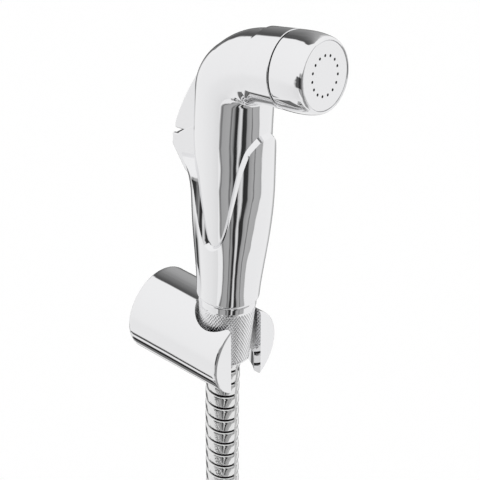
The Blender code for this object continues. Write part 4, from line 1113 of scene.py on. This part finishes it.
# The other dark flags of the room. Each has its lowest and highest elevation, the softness of these two
# edges and its darkness at rising azimuths. Angles are in degrees
FLAGS = [
    (-12, 62, 2.0, [(27, 0.0), (32, 0.56), (36, 0.60), (40, 0.70), (45, 0.78), (50, 0.83), (56, 0.89),
                    (63, 0.91), (66, 0.0)]),
    (-24, -12, 2.0, [(20, 0.0), (28, 0.60), (34, 0.75), (40, 0.90), (58, 0.88), (66, 0.5), (72, 0.0)]),
    (-46, -24, 2.0, [(2, 0.0), (10, 0.30), (20, 0.62), (28, 0.45), (36, 0.94), (58, 0.94), (70, 0.65),
                     (78, 0.0)]),
    (-46, -34, 1.5, [(56, 0.0), (66, 0.35), (80, 0.55), (83, 0.95), (93, 0.95), (99, 0.4), (108, 0.0)]),
    (-80, -53, 0.8, [(58, 0.0), (66, 0.85), (82, 0.75), (88, 0.85), (93, 0.99), (103, 0.98), (107, 0.0)]),
    (-53, -45, 0.8, [(115, 0.0), (118, 0.97), (123, 0.96), (126, 0.0)]),
    (-80, -56, 0.8, [(108, 0.0), (112, 0.75), (117, 0.97), (121, 0.80), (139, 0.85), (144, 0.0)]),
    (-17, 13, 1.5, [(-180, 0.88), (-160, 0.92), (-140, 0.0), (169, 0.0), (173, 0.90), (180, 0.88)]),
    (-52, -14, 6.0, [(120, 0.0), (158, 0.06), (180, 0.13)]),
]


def curve(tree, value, stops, reach=180.0):
    """A value read off a curve through (place, height) stops between -reach and reach."""
    node = tree.nodes.new("ShaderNodeValToRGB")
    ramp = node.color_ramp
    while len(ramp.elements) < len(stops):
        ramp.elements.new(0.5)
    for element, (where, height) in zip(ramp.elements, stops):
        element.position = (where + reach) / (2 * reach)
        element.color = (height, height, height, 1.0)
    tree.links.new(spread(tree, value, -reach, reach, 0.0, 1.0), node.inputs["Fac"])
    return node.outputs["Color"]


def room_light(tree):
    """Colour of the room by direction: pale all round, with the dark flags."""
    place = tree.nodes.new("ShaderNodeTexCoord")
    split = linked(tree, "ShaderNodeSeparateXYZ", Vector=place.outputs["Generated"])
    x, y, z = (split.outputs[k] for k in "XYZ")
    azimuth = math_node(tree, "MULTIPLY", math_node(tree, "ARCTAN2", y, x), 180 / math.pi)
    elevation = math_node(tree, "MULTIPLY", math_node(tree, "ARCSINE", z), 180 / math.pi)
    ripple = linked(tree, "ShaderNodeTexNoise", Scale=7.0, Detail=1.0, Vector=place.outputs["Generated"])
    azimuth = math_node(tree, "ADD", azimuth, spread(tree, ripple.outputs["Fac"], 0.3, 0.7, -1.5, 1.5))
    light = spread(tree, z, -1.0, 1.0, 0.95, 1.02)
    rise = spread(tree, elevation, -43.0, -24.0, -16.0, 3.0)
    middle, half = (math_node(tree, "ADD", level, math_node(tree, "MULTIPLY", rise, slope))
                    for level, slope in (BAND_MIDDLE, BAND_HALF))
    turned = math_node(tree, "WRAP", math_node(tree, "SUBTRACT", azimuth, middle), 180.0)
    turned.node.inputs[2].default_value = -180.0
    band = math_node(tree, "MULTIPLY", curve(tree, math_node(tree, "DIVIDE", turned, half), BAND, 2.0),
                     window(tree, elevation, -74, 24, 3.0))
    light = math_node(tree, "MULTIPLY", light, math_node(tree, "SUBTRACT", 1.0, band))
    for low, high, soft, stops in FLAGS:
        flag = math_node(tree, "MULTIPLY", curve(tree, azimuth, stops),
                         window(tree, elevation, low, high, soft))
        light = math_node(tree, "MULTIPLY", light, math_node(tree, "SUBTRACT", 1.0, flag))
    return linked(tree, "ShaderNodeCombineXYZ", X=light, Y=light, Z=light).outputs["Vector"]


# Making

camera()
hose()
handset_shell()
thumb_lever()
spray_ring()
spray_plate()
knurled_nut()
wall_holder()

studio()
dress_nodes()

bpy.context.scene.view_settings.view_transform = "Standard"
